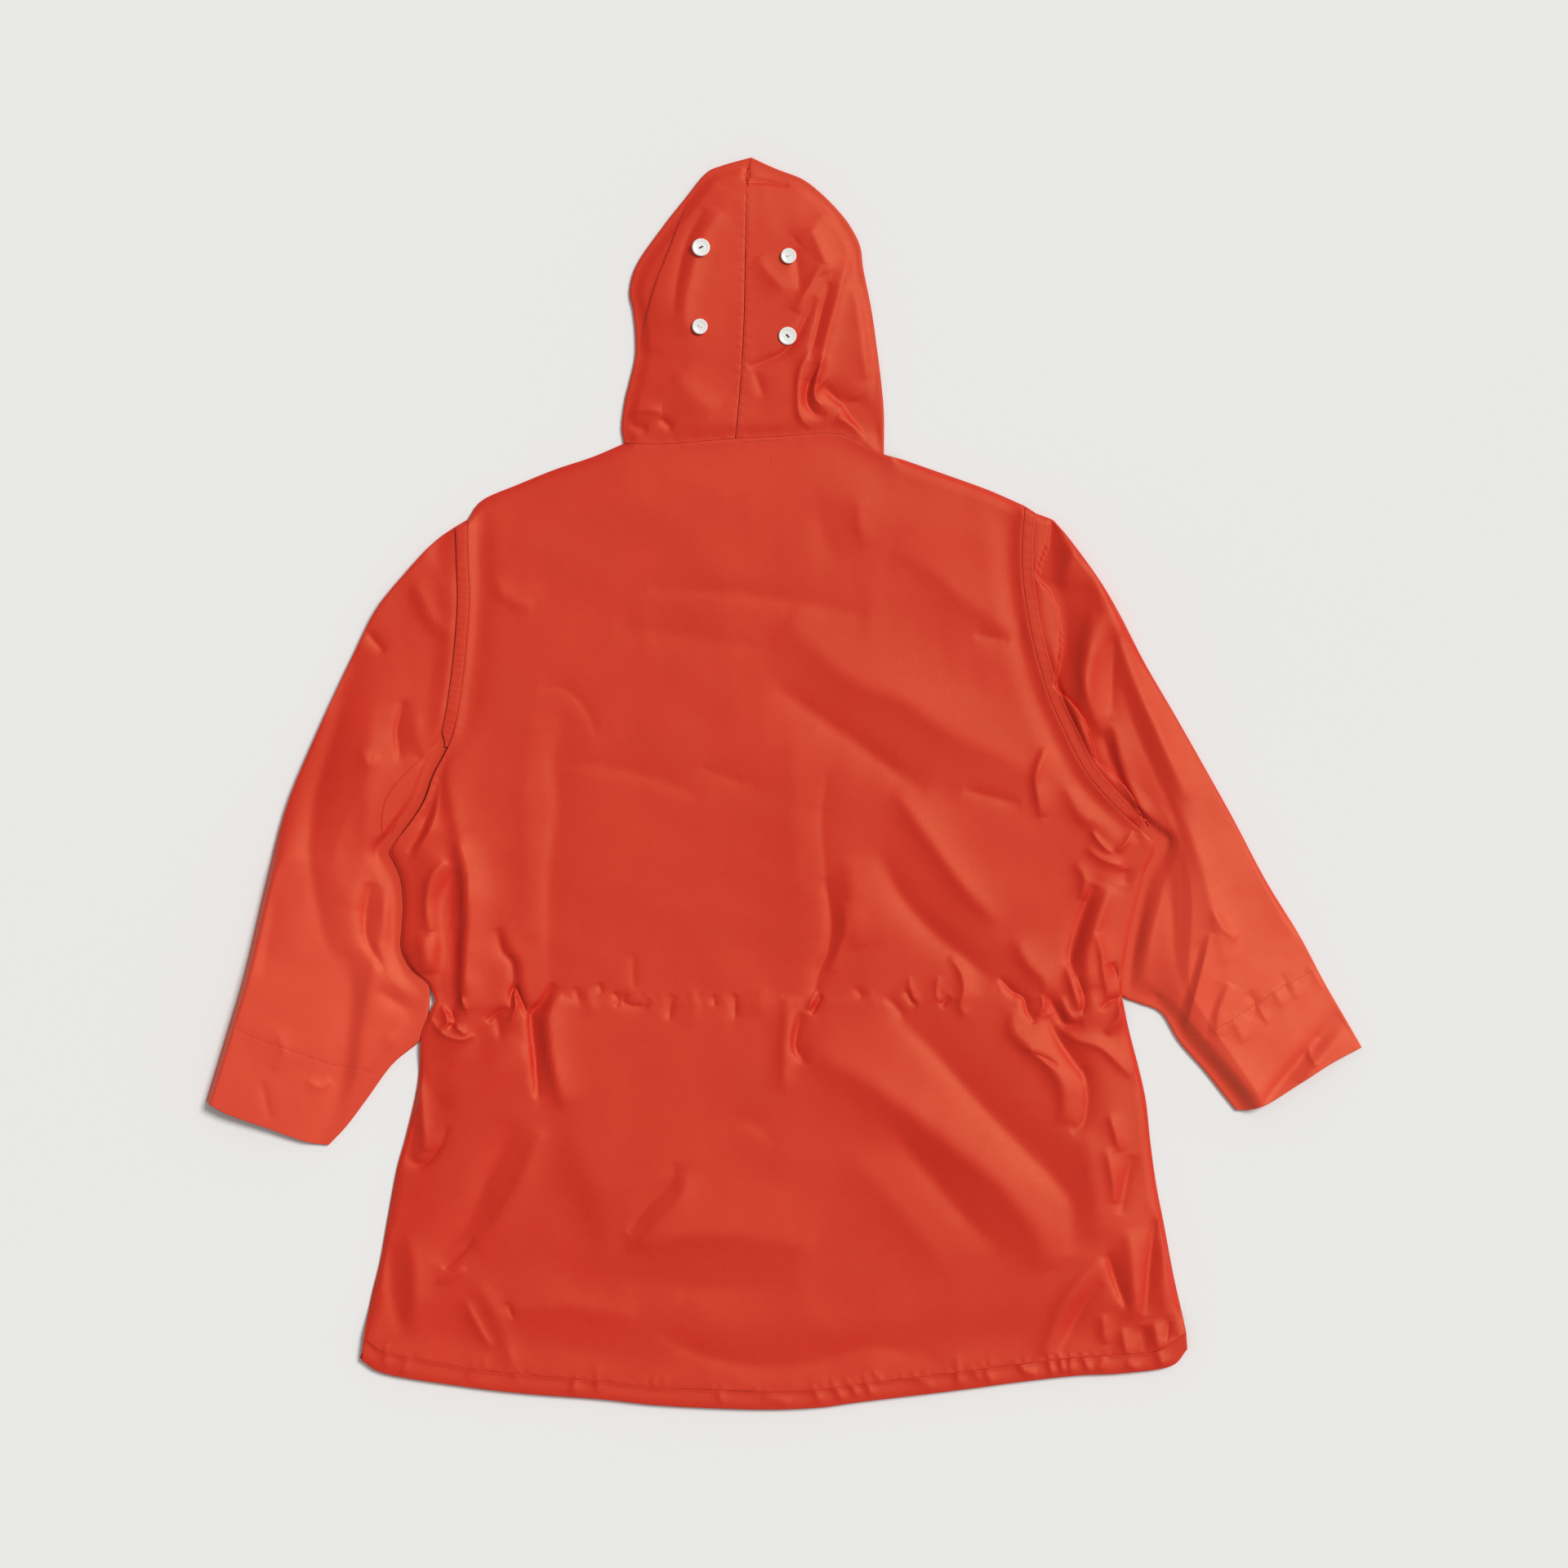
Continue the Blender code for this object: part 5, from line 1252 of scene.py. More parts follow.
# ==== the smock's parts
@dataclass
class Body:
    """The front and back panels."""
    groups: Groups
    neck: Span = (0.2539, 0.7953)  # shares of the top edge
    waist: float = 0.4103  # shares of the side edges
    underarm: float = 0.6346
    folds: tuple[Fold, ...] = BACK_FOLDS
    puckers: tuple[Fold, ...] = HEM_PUCKERS
    loft: float = 3.0  # of the middle of the back
    sleeve_rise: float = 2.4  # of its sides over the sleeves
    over_left: Span = (-44, -232)  # y where the left sleeve is under it
    over_right: Span = (-38, -200)
    sleeve_ramps: Span = (20, 26)  # past the top and the bottom of that
    sleeve_reach: Span = (30, 60)  # in from the side
    columns: int = 92
    rows: int = 116

    def __post_init__(self) -> None:
        """Draw the panels' edges and gather what shapes the back."""
        self.back_patch = patch(
            trace((1.0, HEM_STITCHING)),
            trace((self.neck[0], SHOULDER_LEFT), (self.neck[1], NECK), (1.0, SHOULDER_RIGHT)),
            trace((self.waist, SKIRT_LEFT[::-1]), (self.underarm, SIDE_LEFT[::-1]),
                  (1.0, ARMHOLE_LEFT[::-1])),
            trace((self.waist, SKIRT_RIGHT[::-1]), (self.underarm, SIDE_RIGHT[::-1]),
                  (1.0, ARMHOLE_RIGHT[::-1])))
        self.front_patch = patch(
            trace((1.0, FRONT_STITCHING)),
            trace((3 / 14, FRONT_SHOULDER_LEFT), (11 / 14, FRONT_NECKLINE),
                  (1.0, FRONT_SHOULDER_RIGHT)),
            trace((5 / 15, FRONT_SKIRT_LEFT[::-1]), (9 / 15, FRONT_SIDE_LEFT[::-1]),
                  (1.0, FRONT_ARMHOLE_LEFT[::-1])),
            trace((5 / 15, FRONT_SKIRT_RIGHT[::-1]), (9 / 15, FRONT_SIDE_RIGHT[::-1]),
                  (1.0, FRONT_ARMHOLE_RIGHT[::-1])))
        self.creases = self.folds + tuple(replace(fold, height=0.5 * fold.height)
                                          for fold in self.puckers)
        self.seams = (*(Seam(hole, 0.12, 1.5, 0.2, 9.0) for hole in (ARMHOLE_LEFT,
                                                                     ARMHOLE_RIGHT)),
                      NECK_SEAM,
                      Seam(HEM_STITCHING, 0.15, 1.5, 0.35, 10.0, 8.0),
                      Seam(WAIST_CORD, 0.05, 2.0, 0.22, 13.0, 8.0))
        self.levels = tuple(zip(curves_of(self.seams[:3]), (BAND_TOP + SEAM_LIFT,
                                                        BAND_TOP + SEAM_LIFT, NECK_TOP)))

    def over_sleeve(self, y: Array, from_side: Array, span: Span) -> Array:
        """Find where a sleeve lies under the back.

        Args:
            y: Places along.
            from_side: Their distances from the back's side.
            span: The highest and the lowest y of the sleeve there.

        Returns:
            1 over the sleeve and 0 away from it.
        """
        (top, bottom), (above, below) = span, self.sleeve_ramps
        along = ease(y, bottom - below, bottom) * (1 - ease(y, top, top + above))
        return along * (1 - ease(from_side, *self.sleeve_reach))

    def back_shape(self, s: Array, t: Array) -> Array:
        """Find the outside of the back panel.

        Args:
            s: Shares across, from the left side.
            t: Shares along, from the hem stitching up.

        Returns:
            Rows of x, y and z.
        """
        x, y = self.back_patch(s, t).T
        from_left, from_right = s * BODY_WIDTH, (1 - s) * BODY_WIDTH
        on_sleeve = np.maximum(self.over_sleeve(y, from_left, self.over_left),
                               self.over_sleeve(y, from_right, self.over_right))
        on_hem = 1 - ease(t * BODY_LENGTH, 0, HEM_CLIMB)
        inland = (ease(np.minimum(from_left, from_right), 4, 40)
                  * ease(t * BODY_LENGTH, 8, 60) * ease((1 - t) * BODY_LENGTH, 4, 44))
        floor = LOWEST + on_sleeve * (ROLLED + GAP + CLOTH + 0.2 - LOWEST)
        floor = np.maximum(floor, LOWEST + on_hem * (HEM_TOP - LOWEST))
        height = (LAID + billow(x, y) + folded(x, y, self.creases) + rumple(x, y)
                  + self.sleeve_rise * on_sleeve + self.loft * inland)
        height = held_up(height + on_hem * (HEM_TOP - LAID - 1.0), floor)
        for path, level in self.levels:
            near = np.exp(-(nearest(x, y, path)[0] / LEVEL_REACH) ** 2)
            height = height + near * (level - height)
        height = height + sewn(x, y, self.seams)
        left, right = self.neck
        in_neck = ease(s, left, left + 0.02) * (1 - ease(s, right - 0.02, right))
        below_arm = 1 - ease(t, self.underarm, self.underarm + 0.015)
        turn = below_arm * (1 - ease(np.minimum(from_left, from_right), 0, SIDE_TURN))
        top = (1 - in_neck) * (1 - ease((1 - t) * BODY_LENGTH, 0, SIDE_TURN))
        turn = np.maximum(turn, top)
        rest = GAP + CLOTH + on_sleeve * ROLLED + on_hem * (HEM_TOP - GAP - CLOTH)
        return np.column_stack((x, y, height * (1 - turn) + rest * turn))

    def front_shape(self, s: Array, t: Array) -> Array:
        """Return the underside of the front panel, flat on the surface that it lies on."""
        return np.column_stack((self.front_patch(s, t), np.zeros(len(s))))

    def build(self) -> list[Piece]:
        """Make both panels.

        Returns:
            The front and the back.
        """
        front = Sheet("front_cloth", "front_panel", self.front_shape, rimmed(60, 620.0),
                      rimmed(70, 760.0), (0.73, 0.83), 0.465, turned=True)
        seams = curves_of(self.seams)
        back = Sheet("back_cloth", "back_panel", self.back_shape,
                     rimmed(self.columns, BODY_WIDTH), rimmed(self.rows, BODY_LENGTH),
                     (0.73, 0.86), 0.489, rests_on=("front_cloth",),
                     finer=[(paths_of(self.creases, 24), 8.0),
                            (paths_of(self.creases, 7) + seams, 4.0),
                            (paths_of(self.creases, 3.6), 2.2)], seams=seams)
        return made_up((front, back), self.groups)


@dataclass
class Sleeve:
    """One sleeve, a flattened tube open at both ends, with the lapped seam of its armhole."""
    groups: Groups
    side: Side
    outer: Points
    inner: Points
    cuff: Points
    armhole: Points
    tail: Points
    body_side: Points
    folds: tuple[Fold, ...]
    ledge: Ledge
    band_end: float  # share of the sleeve's first row that the band runs along
    grain: float
    flat: Span
    area: float
    band_flat: Span
    band_area: float
    edge_folds: tuple[Fold, ...]
    peak: Span  # where it is highest across, at start and end
    swell: float  # of its middle over its start
    cuff_hem: float  # from the cuff to the stitching of its deep hem
    lift_end: float  # where the lift along the armhole ends, going down
    # the highlight painted into its colour along the sleeve
    painted_sheen: PaintedSheen
    band_stitching: float = 8.3  # from the armhole to the stitches of the band
    tail_start: float = 0.94  # share of the armhole where the sleeve goes under the body
    seam_end: float = 10 / 12  # share of the sleeve's first row that lies along the armhole
    flanks: Span = (3.2, 0.75)  # slopes from its outer and its inner edge
    beside_body: Span = (0.9, 2.5)  # slope beside the body, and how far off it starts
    corner_reach: Span = (4, 60)  # over the underarm corner, where that ends
    peak_turn: Span = (0.36, 0.62)  # along, where its highest line crosses over
    swell_end: float = 0.4  # along, where it has its full swell
    cuff_sink: Span = (0.15, 0.75)  # share of the swell lost at the cuff, and from where
    slopes: Span = (0.55, 0.45)  # shares of a straight slope and of a round one
    underarm: Span = (0.6, 55)  # share lost at the underarm, and within what reach
    edge_reach: float = 16  # from its edges to where it has its whole height
    band_reach: Span = (8, 15)  # from the seam, where its own folds start
    crease_reach: Span = (12, 40)  # the same for the creased edge
    lift_reach: Span = (11, 30)  # from the seam, where the lift along it ends
    ledge_reach: Span = (4, 10)  # from the seam, where the ledge starts
    lift_ramps: Span = (10, 30)  # below and above the end of the lift
    first_rows: int = 7  # of cells under the seam band
    rows_in_solid: int = 14  # of the solid's cells, the first one under the band
    upper: int = 84
    under: int = 26
    turns: int = 8
    rows: int = 128

    def __post_init__(self) -> None:
        """Draw the sleeve's edges and the lines between them."""
        self.out = self.side.value
        self.hole = trace((1.0, self.armhole))
        corner = self.hole(self.tail_start)
        self.hidden = trace((1.0, (tuple(corner),) + self.tail))
        side = self.out * across(self.hole, np.array([self.tail_start]))[0]
        self.first = math.atan2(side[1], side[0])
        self.last = math.atan2(self.inner[0][1] - self.tail[-1][1],
                               self.inner[0][0] - self.tail[-1][0])
        self.outer_edge = trace((1.0, (tuple(self.start(0.0)[0]),) + self.outer[1:]))
        self.inner_edge = trace((1.0, (tuple(self.start(1.0)[0]),) + self.inner[1:]))
        self.end = trace((1.0, self.cuff))
        self.hang = self.out * across(self.end, np.array([0.5]))[0]
        self.lines = relaxed(self.surface)
        self.stops = self.tube_stops()
        self.hole_path = smooth(self.armhole, 4)
        end_of_hole = self.hole_path[self.hole_path[:, 1] < self.body_side[0][1] + 70]
        self.body_path = np.vstack((end_of_hole, smooth(self.body_side, 4)[1:]))
        cuff = np.array(self.cuff, float)
        run = (cuff[-1] - cuff[0]) / np.linalg.norm(cuff[-1] - cuff[0])
        hem = cuff - self.cuff_hem * self.hang
        hem = np.vstack((hem[:1] - 30 * run, hem, hem[-1:] + 40 * run))
        self.seams = (Seam(tuple(map(tuple, hem)), 0.12, 1.4, 0.12, 13.0, 5.0),)

    def along(self, share: Array | float, distance: float) -> Array:
        """Move the armhole out; the tail's far end moves down instead.

        Args:
            share: Shares of the sleeve's first row.
            distance: How far out, in millimetres.

        Returns:
            The places.
        """
        share = np.atleast_1d(np.asarray(share, float))
        on_hole = self.tail_start * np.clip(share / self.seam_end, 0, 1)
        seen = self.hole(on_hole) + self.out * distance * across(self.hole, on_hole)
        seen[:, 1] -= 0.57 * distance * np.exp(-(on_hole / 0.04) ** 2)
        end = np.clip((share - self.seam_end) / (1 - self.seam_end), 0, 1)
        way = (self.out * (self.first - self.last)) % (2 * math.pi)
        turned = self.first - self.out * end * way
        lead = np.stack((np.cos(turned), np.sin(turned)), axis=-1)
        return np.where(share[:, None] < self.seam_end, seen, self.hidden(end) + distance * lead)

    def start(self, share: Array | float) -> Array:
        """Return the sleeve's first row past the seam band."""
        return self.along(share, CURVED_GAP + BAND)

    def seam(self, share: Array | float) -> Array:
        """Return the sleeve's edge at the seam."""
        return self.along(share, CURVED_GAP)

    def fan(self, share: Array, t: Array) -> Array:
        """Draw the lengthwise lines that leave the seam squarely and turn to the cuff.

        Args:
            share, t: Shares across and along.

        Returns:
            The places.
        """
        a, b, t = self.start(share), self.end(share), t[:, None]
        reach = np.linalg.norm(b - a, axis=1, keepdims=True)
        out = reach * (self.seam(share) - self.along(share, CURVED_GAP - 1))
        return ((1 + 2 * t) * (1 - t) ** 2 * a + 0.42 * t * (1 - t) ** 2 * out
                + t * t * (3 - 2 * t) * b - 0.9 * t * t * (1 - t) * reach * self.hang)

    def surface(self, share: Array, t: Array) -> Array:
        """Draw the lines onto the outer and inner edges.

        Args:
            share, t: Shares across and along.

        Returns:
            The places.
        """
        near = self.fan(share, t)
        on_outer = self.outer_edge(t) - self.fan(0 * share, t)
        on_inner = self.inner_edge(t) - self.fan(0 * share + 1, t)
        hold = share ** (4 + 10 * (1 - ease(t, 0, 0.5)))
        return near + ((1 - share) ** 2)[:, None] * on_outer + hold[:, None] * on_inner

    def tube_stops(self) -> Array:
        """Go round the flattened tube, from the outer edge over the top and back under.

        Returns:
            Rows of share, inset and lift.
        """
        half, edge = self.turns // 2, rolled(self.turns, True)
        over = [(k / self.upper, FOLD_RADIUS * (1 - 2 * k / self.upper), 1.0)
                for k in range(1, self.upper)]
        beneath = [(k / self.under, FOLD_RADIUS * (1 - 2 * k / self.under), 0.0)
                   for k in range(self.under - 1, 0, -1)]
        inner = [(1.0, -inset, lift) for _, inset, lift in reversed(edge)]
        return np.array(edge[half:] + over + inner + beneath + edge[:half + 1])

    def shape(self, u: Array, v: Array) -> Array:
        """Find the sleeve's outside.

        Args:
            u: Shares of the way round.
            v: Shares from the armhole to the cuff.

        Returns:
            Rows of x, y and z.
        """
        share, inset, lift = on_stops(u, self.stops)
        row = v * self.rows_in_solid
        t = np.clip((row - 1) / (self.rows_in_solid - 1), 0, 1)
        width = np.linalg.norm(self.outer_edge(t) - self.inner_edge(t), axis=1)
        s = np.clip(share + inset / width, 0, 1)
        place = self.lines(s, t)
        lead = np.clip(row, 0, 1)[:, None]
        place = np.where(lead < 1, (1 - lead) * self.seam(s) + lead * place, place)
        x, y = place[:, 0], place[:, 1]
        to_edge = self.from_edges(x, y, s, width)
        from_seam = nearest(x, y, self.hole_path)[0]
        over_edge = ease(to_edge, FOLD_RADIUS, self.edge_reach)
        on_top = over_edge * ease(from_seam, *self.band_reach)
        rise = self.body_of(x, y, s, t) + folded(x, y, self.folds) + rumple(x, y)
        raised = on_top * rise + folded(x, y, self.edge_folds) * ease(from_seam,
                                                                      *self.crease_reach)
        below, above = self.lift_ramps
        at_seam = SEAM_LIFT * ease(y, self.lift_end - below, self.lift_end + above)
        at_seam = (at_seam * (1 - ease(from_seam, *self.lift_reach))
                   + ease(from_seam, *self.ledge_reach) * stepped(x, y, self.ledge))
        raised = raised + over_edge * at_seam
        top = held_up(ROLLED + raised, LEAST) + on_top * sewn(x, y, self.seams)
        return np.column_stack((x, y, np.minimum(lift, 1) * top))

    def from_edges(self, x: Array, y: Array, s: Array, width: Array) -> Array:
        """Find how far the upper layer has risen from its edges and from the body's.

        Args:
            x, y: Places across and along.
            s: Their shares across the sleeve.
            width: Of the sleeve there.

        Returns:
            Distances, drawn out or in by how gently or steeply each edge rises.
        """
        outer, inner = self.flanks
        to_edge = np.minimum(outer * s, inner * (1 - s)) * width
        away, side, _ = nearest(x, y, self.body_path)
        slope, start = self.beside_body
        covered = side * self.out < 0
        clear = np.where(covered, 0.0, np.minimum(to_edge, slope * away - start))
        corner, (low, high) = self.body_side[0][1], self.corner_reach
        return to_edge + (1 - ease(y, corner + low, corner + high)) * (clear - to_edge)

    def body_of(self, x: Array, y: Array, s: Array, t: Array) -> Array:
        """Find the slow swell of the upper layer, without its folds.

        Args:
            x, y: Places across and along.
            s: Their shares across the sleeve.
            t: Their shares along the sleeve.

        Returns:
            The height that it adds at each place.
        """
        peak = self.peak[0] + (self.peak[1] - self.peak[0]) * ease(t, *self.peak_turn)
        sink, sink_start = self.cuff_sink
        puff = 1.0 + self.swell * ease(t, 0.0, self.swell_end) * (
            1 - sink * ease(t, sink_start, 1.0))
        climb = np.where(s < peak, s / peak, (1 - s) / (1 - peak))
        straight, rounded = self.slopes
        rise = puff * (straight * climb + rounded * np.sin(math.pi / 2 * climb) ** 0.8)
        lost, reach = self.underarm
        corner = np.hypot(x - self.body_side[0][0], y - self.body_side[0][1])
        return rise * (1 - lost * np.exp(-(corner / reach) ** 2))

    def band_shape(self, u: Array, v: Array) -> Array:
        """Find the outside of the lapped seam: the sleeve's own first row, moved out.

        Args:
            u: Shares along the band.
            v: Shares across it.

        Returns:
            Rows of x, y and z.
        """
        shares = np.linspace(0, 1, len(self.stops))
        v = v * (1 - 0.7 * ease(u, 0.93, 1.0))
        first = self.turns // 2
        last = first + round(self.upper * self.band_end)
        along = np.interp(u, [0, 1], [0, self.band_end])
        place = self.shape(shares[first] + u * (shares[last] - shares[first]),
                           v * 0.96 / self.rows_in_solid)
        drawn_in = (CURVED_GAP - SEWN_GAP) * (1 - v)[:, None]
        place[:, :2] += drawn_in * (self.along(along, 0.0) - self.along(along, 1.0))
        swell = 0.35 * np.sin(math.pi * np.clip(v, 0, 1)) ** 0.5
        ruck = 0.12 * np.sin(u * 190 + 2 * np.sin(u * 41)) * np.sin(math.pi * v)
        place[:, 2] += GAP + CLOTH + 0.2 + swell + ruck
        return place

    def band_run(self) -> Array:
        """Return the line that the seam band is stitched along."""
        return self.along(np.linspace(0, 1, 80) * self.band_end, self.band_stitching)

    def cuff_run(self) -> Array:
        """Return the line that the cuff's hem is stitched along."""
        return smooth(self.seams[0].path[1:-1])

    def build(self) -> list[Piece]:
        """Make the sleeve and its seam band.

        Returns:
            The sleeve and the band.
        """
        name = self.side.name.lower()
        third, second, first = (1 - edge / SLEEVE_LENGTH for edge in (3, 1.4, 0.6))
        rows = np.concatenate((np.linspace(0, 1, self.first_rows) / self.rows_in_solid,
                               np.linspace(1 / self.rows_in_solid, third, self.rows)[1:],
                               [second, first, 1.0]))
        seams = curves_of(self.seams, 2)
        sleeve = Sheet(f"sleeve_{name}_cloth", f"sleeve_{name}", self.shape,
                       np.linspace(0, 1, len(self.stops)), rows, self.flat, self.area,
                       grain=self.grain, closed=True, painted_sheen=self.painted_sheen,
                       finer=[(paths_of(self.folds, 7) + [smooth(self.ledge.path, 3)], 7.0),
                              (seams + paths_of(self.folds, 4.2), 4.0)],
                       seams=seams, lowest_finer=LEAST)
        over_band = np.array([0, 0.06, 0.16, 0.3, 0.5, 0.7, 0.84, 0.94, 1.0])
        band = Sheet(f"armhole_band_{name}", f"armhole_seam_{name}", self.band_shape,
                     np.linspace(0, 1, 170), over_band, self.band_flat, self.band_area,
                     grain=self.grain, turned=self.side is Side.LEFT,
                     rests_on=(f"sleeve_{name}_cloth",))
        return made_up((sleeve, band), self.groups)


@dataclass
class Hood:
    """The two halves of the hood, joined at its centre and rolled round to the face."""
    groups: Groups
    folds: tuple[Fold, ...] = HOOD_FOLDS
    ledge: Ledge = HOOD_LEDGE
    under_depth: float = 62.0  # of the under layer, from its edge to the face opening
    swell: Span = (3.5, 6.5)  # of its middle, at the neck and above
    swell_reach: float = 70  # from its side to where it has its full swell
    edge_reach: float = 14  # from its side to where its folds start
    neck_reach: float = 9  # from the neck seam, where it comes down to it
    upper: int = 58
    under: int = 12
    turns: int = 8
    rows: int = 104

    def __post_init__(self) -> None:
        """Draw the seams that both halves keep to."""
        self.seam_path = smooth(HOOD_SEAM + (HOOD_TOP,))
        self.neck_path = smooth(NECK)
        self.chord = {Side.LEFT: ((-141, -43), (300, 303)), Side.RIGHT: ((-43, 88), (303, 291))}
        self.stops = self.side_stops()
        self.seams = (Seam(HOOD_SEAM + (HOOD_TOP,), 0.2, 1.3, 0.2, 10.0, 6.0),
                      NECK_SEAM)

    def side_stops(self) -> Array:
        """Go from the centre seam over the hood's side to the face opening.

        Returns:
            Rows of share, inset and lift.
        """
        over = [(k / self.upper, FOLD_RADIUS * (1 - k / self.upper), 1.0)
                for k in range(self.upper, 0, -1)]
        beneath = [(0.0, FOLD_RADIUS + (self.under_depth - FOLD_RADIUS) * k / self.under, 0.0)
                   for k in range(1, self.under + 1)]
        return np.array(over + rolled(self.turns, False) + beneath)

    def half(self, side: Side, edge_points: Points) -> Shape:
        """Shape half of the hood.

        Args:
            side: Which half.
            edge_points: Its outer edge, from the neck to the top.

        Returns:
            A function from shares to places; v runs from the neck to the top.
        """
        seam, edge, aside = trace((1.0, HOOD_SEAM)), trace((1.0, edge_points)), side.value

        def shape(u: Array, v: Array) -> Array:
            """Find this half's outside.

            Args:
                u: Shares of the way over it and under again.
                v: Shares from the neck to the top.

            Returns:
                Rows of x, y and z.
            """
            share, inset, lift = on_stops(u, self.stops)
            outer, inner = edge(v), seam(v)
            width = np.linalg.norm(inner - outer, axis=1)
            inwards = (inner - outer) / width[:, None]
            under = (inset - FOLD_RADIUS) * np.minimum(
                1, 0.8 * width / self.under_depth) + FOLD_RADIUS
            inset = np.where(inset > FOLD_RADIUS, under, inset)
            depth = np.maximum(share * width + inset, 0)
            place = outer + depth[:, None] * inwards
            straight = np.interp(place[:, 0], *self.chord[side])
            bow = np.interp(place[:, 0], *self.neck_path.T) + SEWN_GAP - straight
            place[:, 1] += bow * (1 - ease(v, 0, 0.3))
            keep = np.interp(place[:, 1], self.seam_path[:, 1], self.seam_path[:, 0])
            keep = keep + aside * SEWN_GAP
            x = np.where(aside * (place[:, 0] - keep) < 0, keep, place[:, 0])
            y = place[:, 1]
            swell = self.swell[0] + (self.swell[1] - self.swell[0]) * ease(v, 0.0, 0.4)
            round_side = np.sin(math.pi / 2 * np.clip(depth / self.swell_reach, 0, 1))
            rise = swell * round_side + 0.5 * billow(x, y) + rumple(x, y)
            rise = rise + folded(x, y, self.folds) + stepped(x, y, self.ledge)
            on_top = ease(depth, FOLD_RADIUS, self.edge_reach)
            top = held_up(ROLLED + on_top * rise, LEAST)
            at_neck = np.exp(-(v * HOOD_LENGTH / self.neck_reach) ** 2)
            top = top + at_neck * (ROLLED + on_top * (NECK_TOP - ROLLED) - top)
            top = top + on_top * sewn(x, y, self.seams)
            return np.column_stack((x, y, lift * top))
        return shape

    def build(self) -> list[Piece]:
        """Make both halves.

        Returns:
            The left half and the right half.
        """
        seams = curves_of(self.seams)
        finer = [(paths_of(self.folds, 9) + [smooth(self.ledge.path, 4)], 9.0), (seams, 5.0)]
        rows = np.concatenate((np.array([0.0, 0.7, 1.6, 3]) / HOOD_LENGTH,
                               np.linspace(PAST_RIM / HOOD_LENGTH, 1, self.rows)))
        sheets = []
        for side, edge, flat, area in ((Side.LEFT, HOOD_EDGE_LEFT, (0.17, 0.30), 0.036),
                                       (Side.RIGHT, HOOD_EDGE_RIGHT, (0.19, 0.30), 0.040)):
            name = side.name.lower()
            sheets.append(Sheet(f"hood_{name}_cloth", f"hood_{name}", self.half(side, edge),
                                np.linspace(0, 1, len(self.stops)), rows, flat, area,
                                turned=side is Side.LEFT, finer=finer, seams=seams,
                                lowest_finer=LEAST))
        return made_up(sheets, self.groups)


@dataclass
class HemCasing:
    """The doubled hems of the front and the back, each with its cord inside."""
    groups: Groups
    front_depth: float = 18.0
    back_depth: float = 16.0
    cord_place: Span = (0.35, 0.22)  # shares of the depth: its middle and half its width
    groove_place: float = 0.86  # of the stitching, the same
    puckers: tuple[Fold, ...] = HEM_PUCKERS
    columns: int = 420

    @staticmethod
    def stops(depth: float) -> Array:
        """Go from the stitching over a hem's edge and back under to it.

        Args:
            depth: From the stitching to the edge, in millimetres.

        Returns:
            Rows of share, inset and lift.
        """
        over = [(0.0, depth * share, 1.0) for share in (1.0, 0.95, 0.88, 0.78, 0.64, 0.5, 0.36,
                                                        0.24)]
        return np.array(over + rolled(8, False) + [(0.0, depth / 2, 0.0), (0.0, depth, 0.0)])

    def casing(self, stitching: Points, edge: Points, depth: float, under: float, over: float,
               puckers: Sequence[Fold], cord: float) -> Shape:
        """Shape a doubled hem.

        Args:
            stitching: The line that it is sewn along.
            edge: Its edge.
            depth: From one to the other.
            under: The height of its underside.
            over: The height of its top.
            puckers: The small crests across it.
            cord: How far the cord inside stands out.

        Returns:
            A function from shares to places; u runs along the hem and v over its edge.
        """
        sewn_at, edge_at, stops = trace((1.0, stitching)), trace((1.0, edge)), self.stops(depth)

        def shape(u: Array, v: Array) -> Array:
            """Find the casing's outside.

            Args:
                u: Shares along the hem.
                v: Shares of the way over its edge.

            Returns:
                Rows of x, y and z.
            """
            _, inset, lift = on_stops(v, stops)
            a, b = sewn_at(u), edge_at(u)
            share = (inset / (depth + SEWN_GAP))[:, None]
            x, y = (b + share * (a - b)).T
            ruck = np.maximum(folded(x, y, puckers), -0.1)
            middle, half = self.cord_place
            swell = cord * np.exp(-((inset / depth - middle) / half) ** 2)
            groove = 0.3 * np.exp(-((inset - self.groove_place * depth) / 1.1) ** 2)
            top = over + ruck + swell - groove * (cord > 0)
            return np.column_stack((x, y, under + lift * (top - under)))
        return shape

    def build(self) -> list[Piece]:
        """Make both casings.

        Returns:
            The front's and the back's.
        """
        rows = np.linspace(0, 1, len(self.stops(1.0)))
        front = Sheet("hem_front_cloth", "hem_casing_front",
                      self.casing(FRONT_STITCHING, FRONT_HEM, self.front_depth, 0.0,
                                  CASING_HEIGHT, (), 0.0),
                      np.linspace(0, 1, 160), rows, (0.74, 0.040), 0.0225, turned=True)
        back = Sheet("hem_back_cloth", "hem_casing_back",
                     self.casing(HEM_STITCHING, HEM, self.back_depth,
                                 CASING_HEIGHT + CASING_GAP, HEM_TOP,
                                 self.puckers, 0.5),
                     np.linspace(0, 1, self.columns), rows, (0.74, 0.040), 0.0221, turned=True,
                     rests_on=("hem_front_cloth",), seams=[smooth(HEM, 4)])
        return made_up((front, back), self.groups)


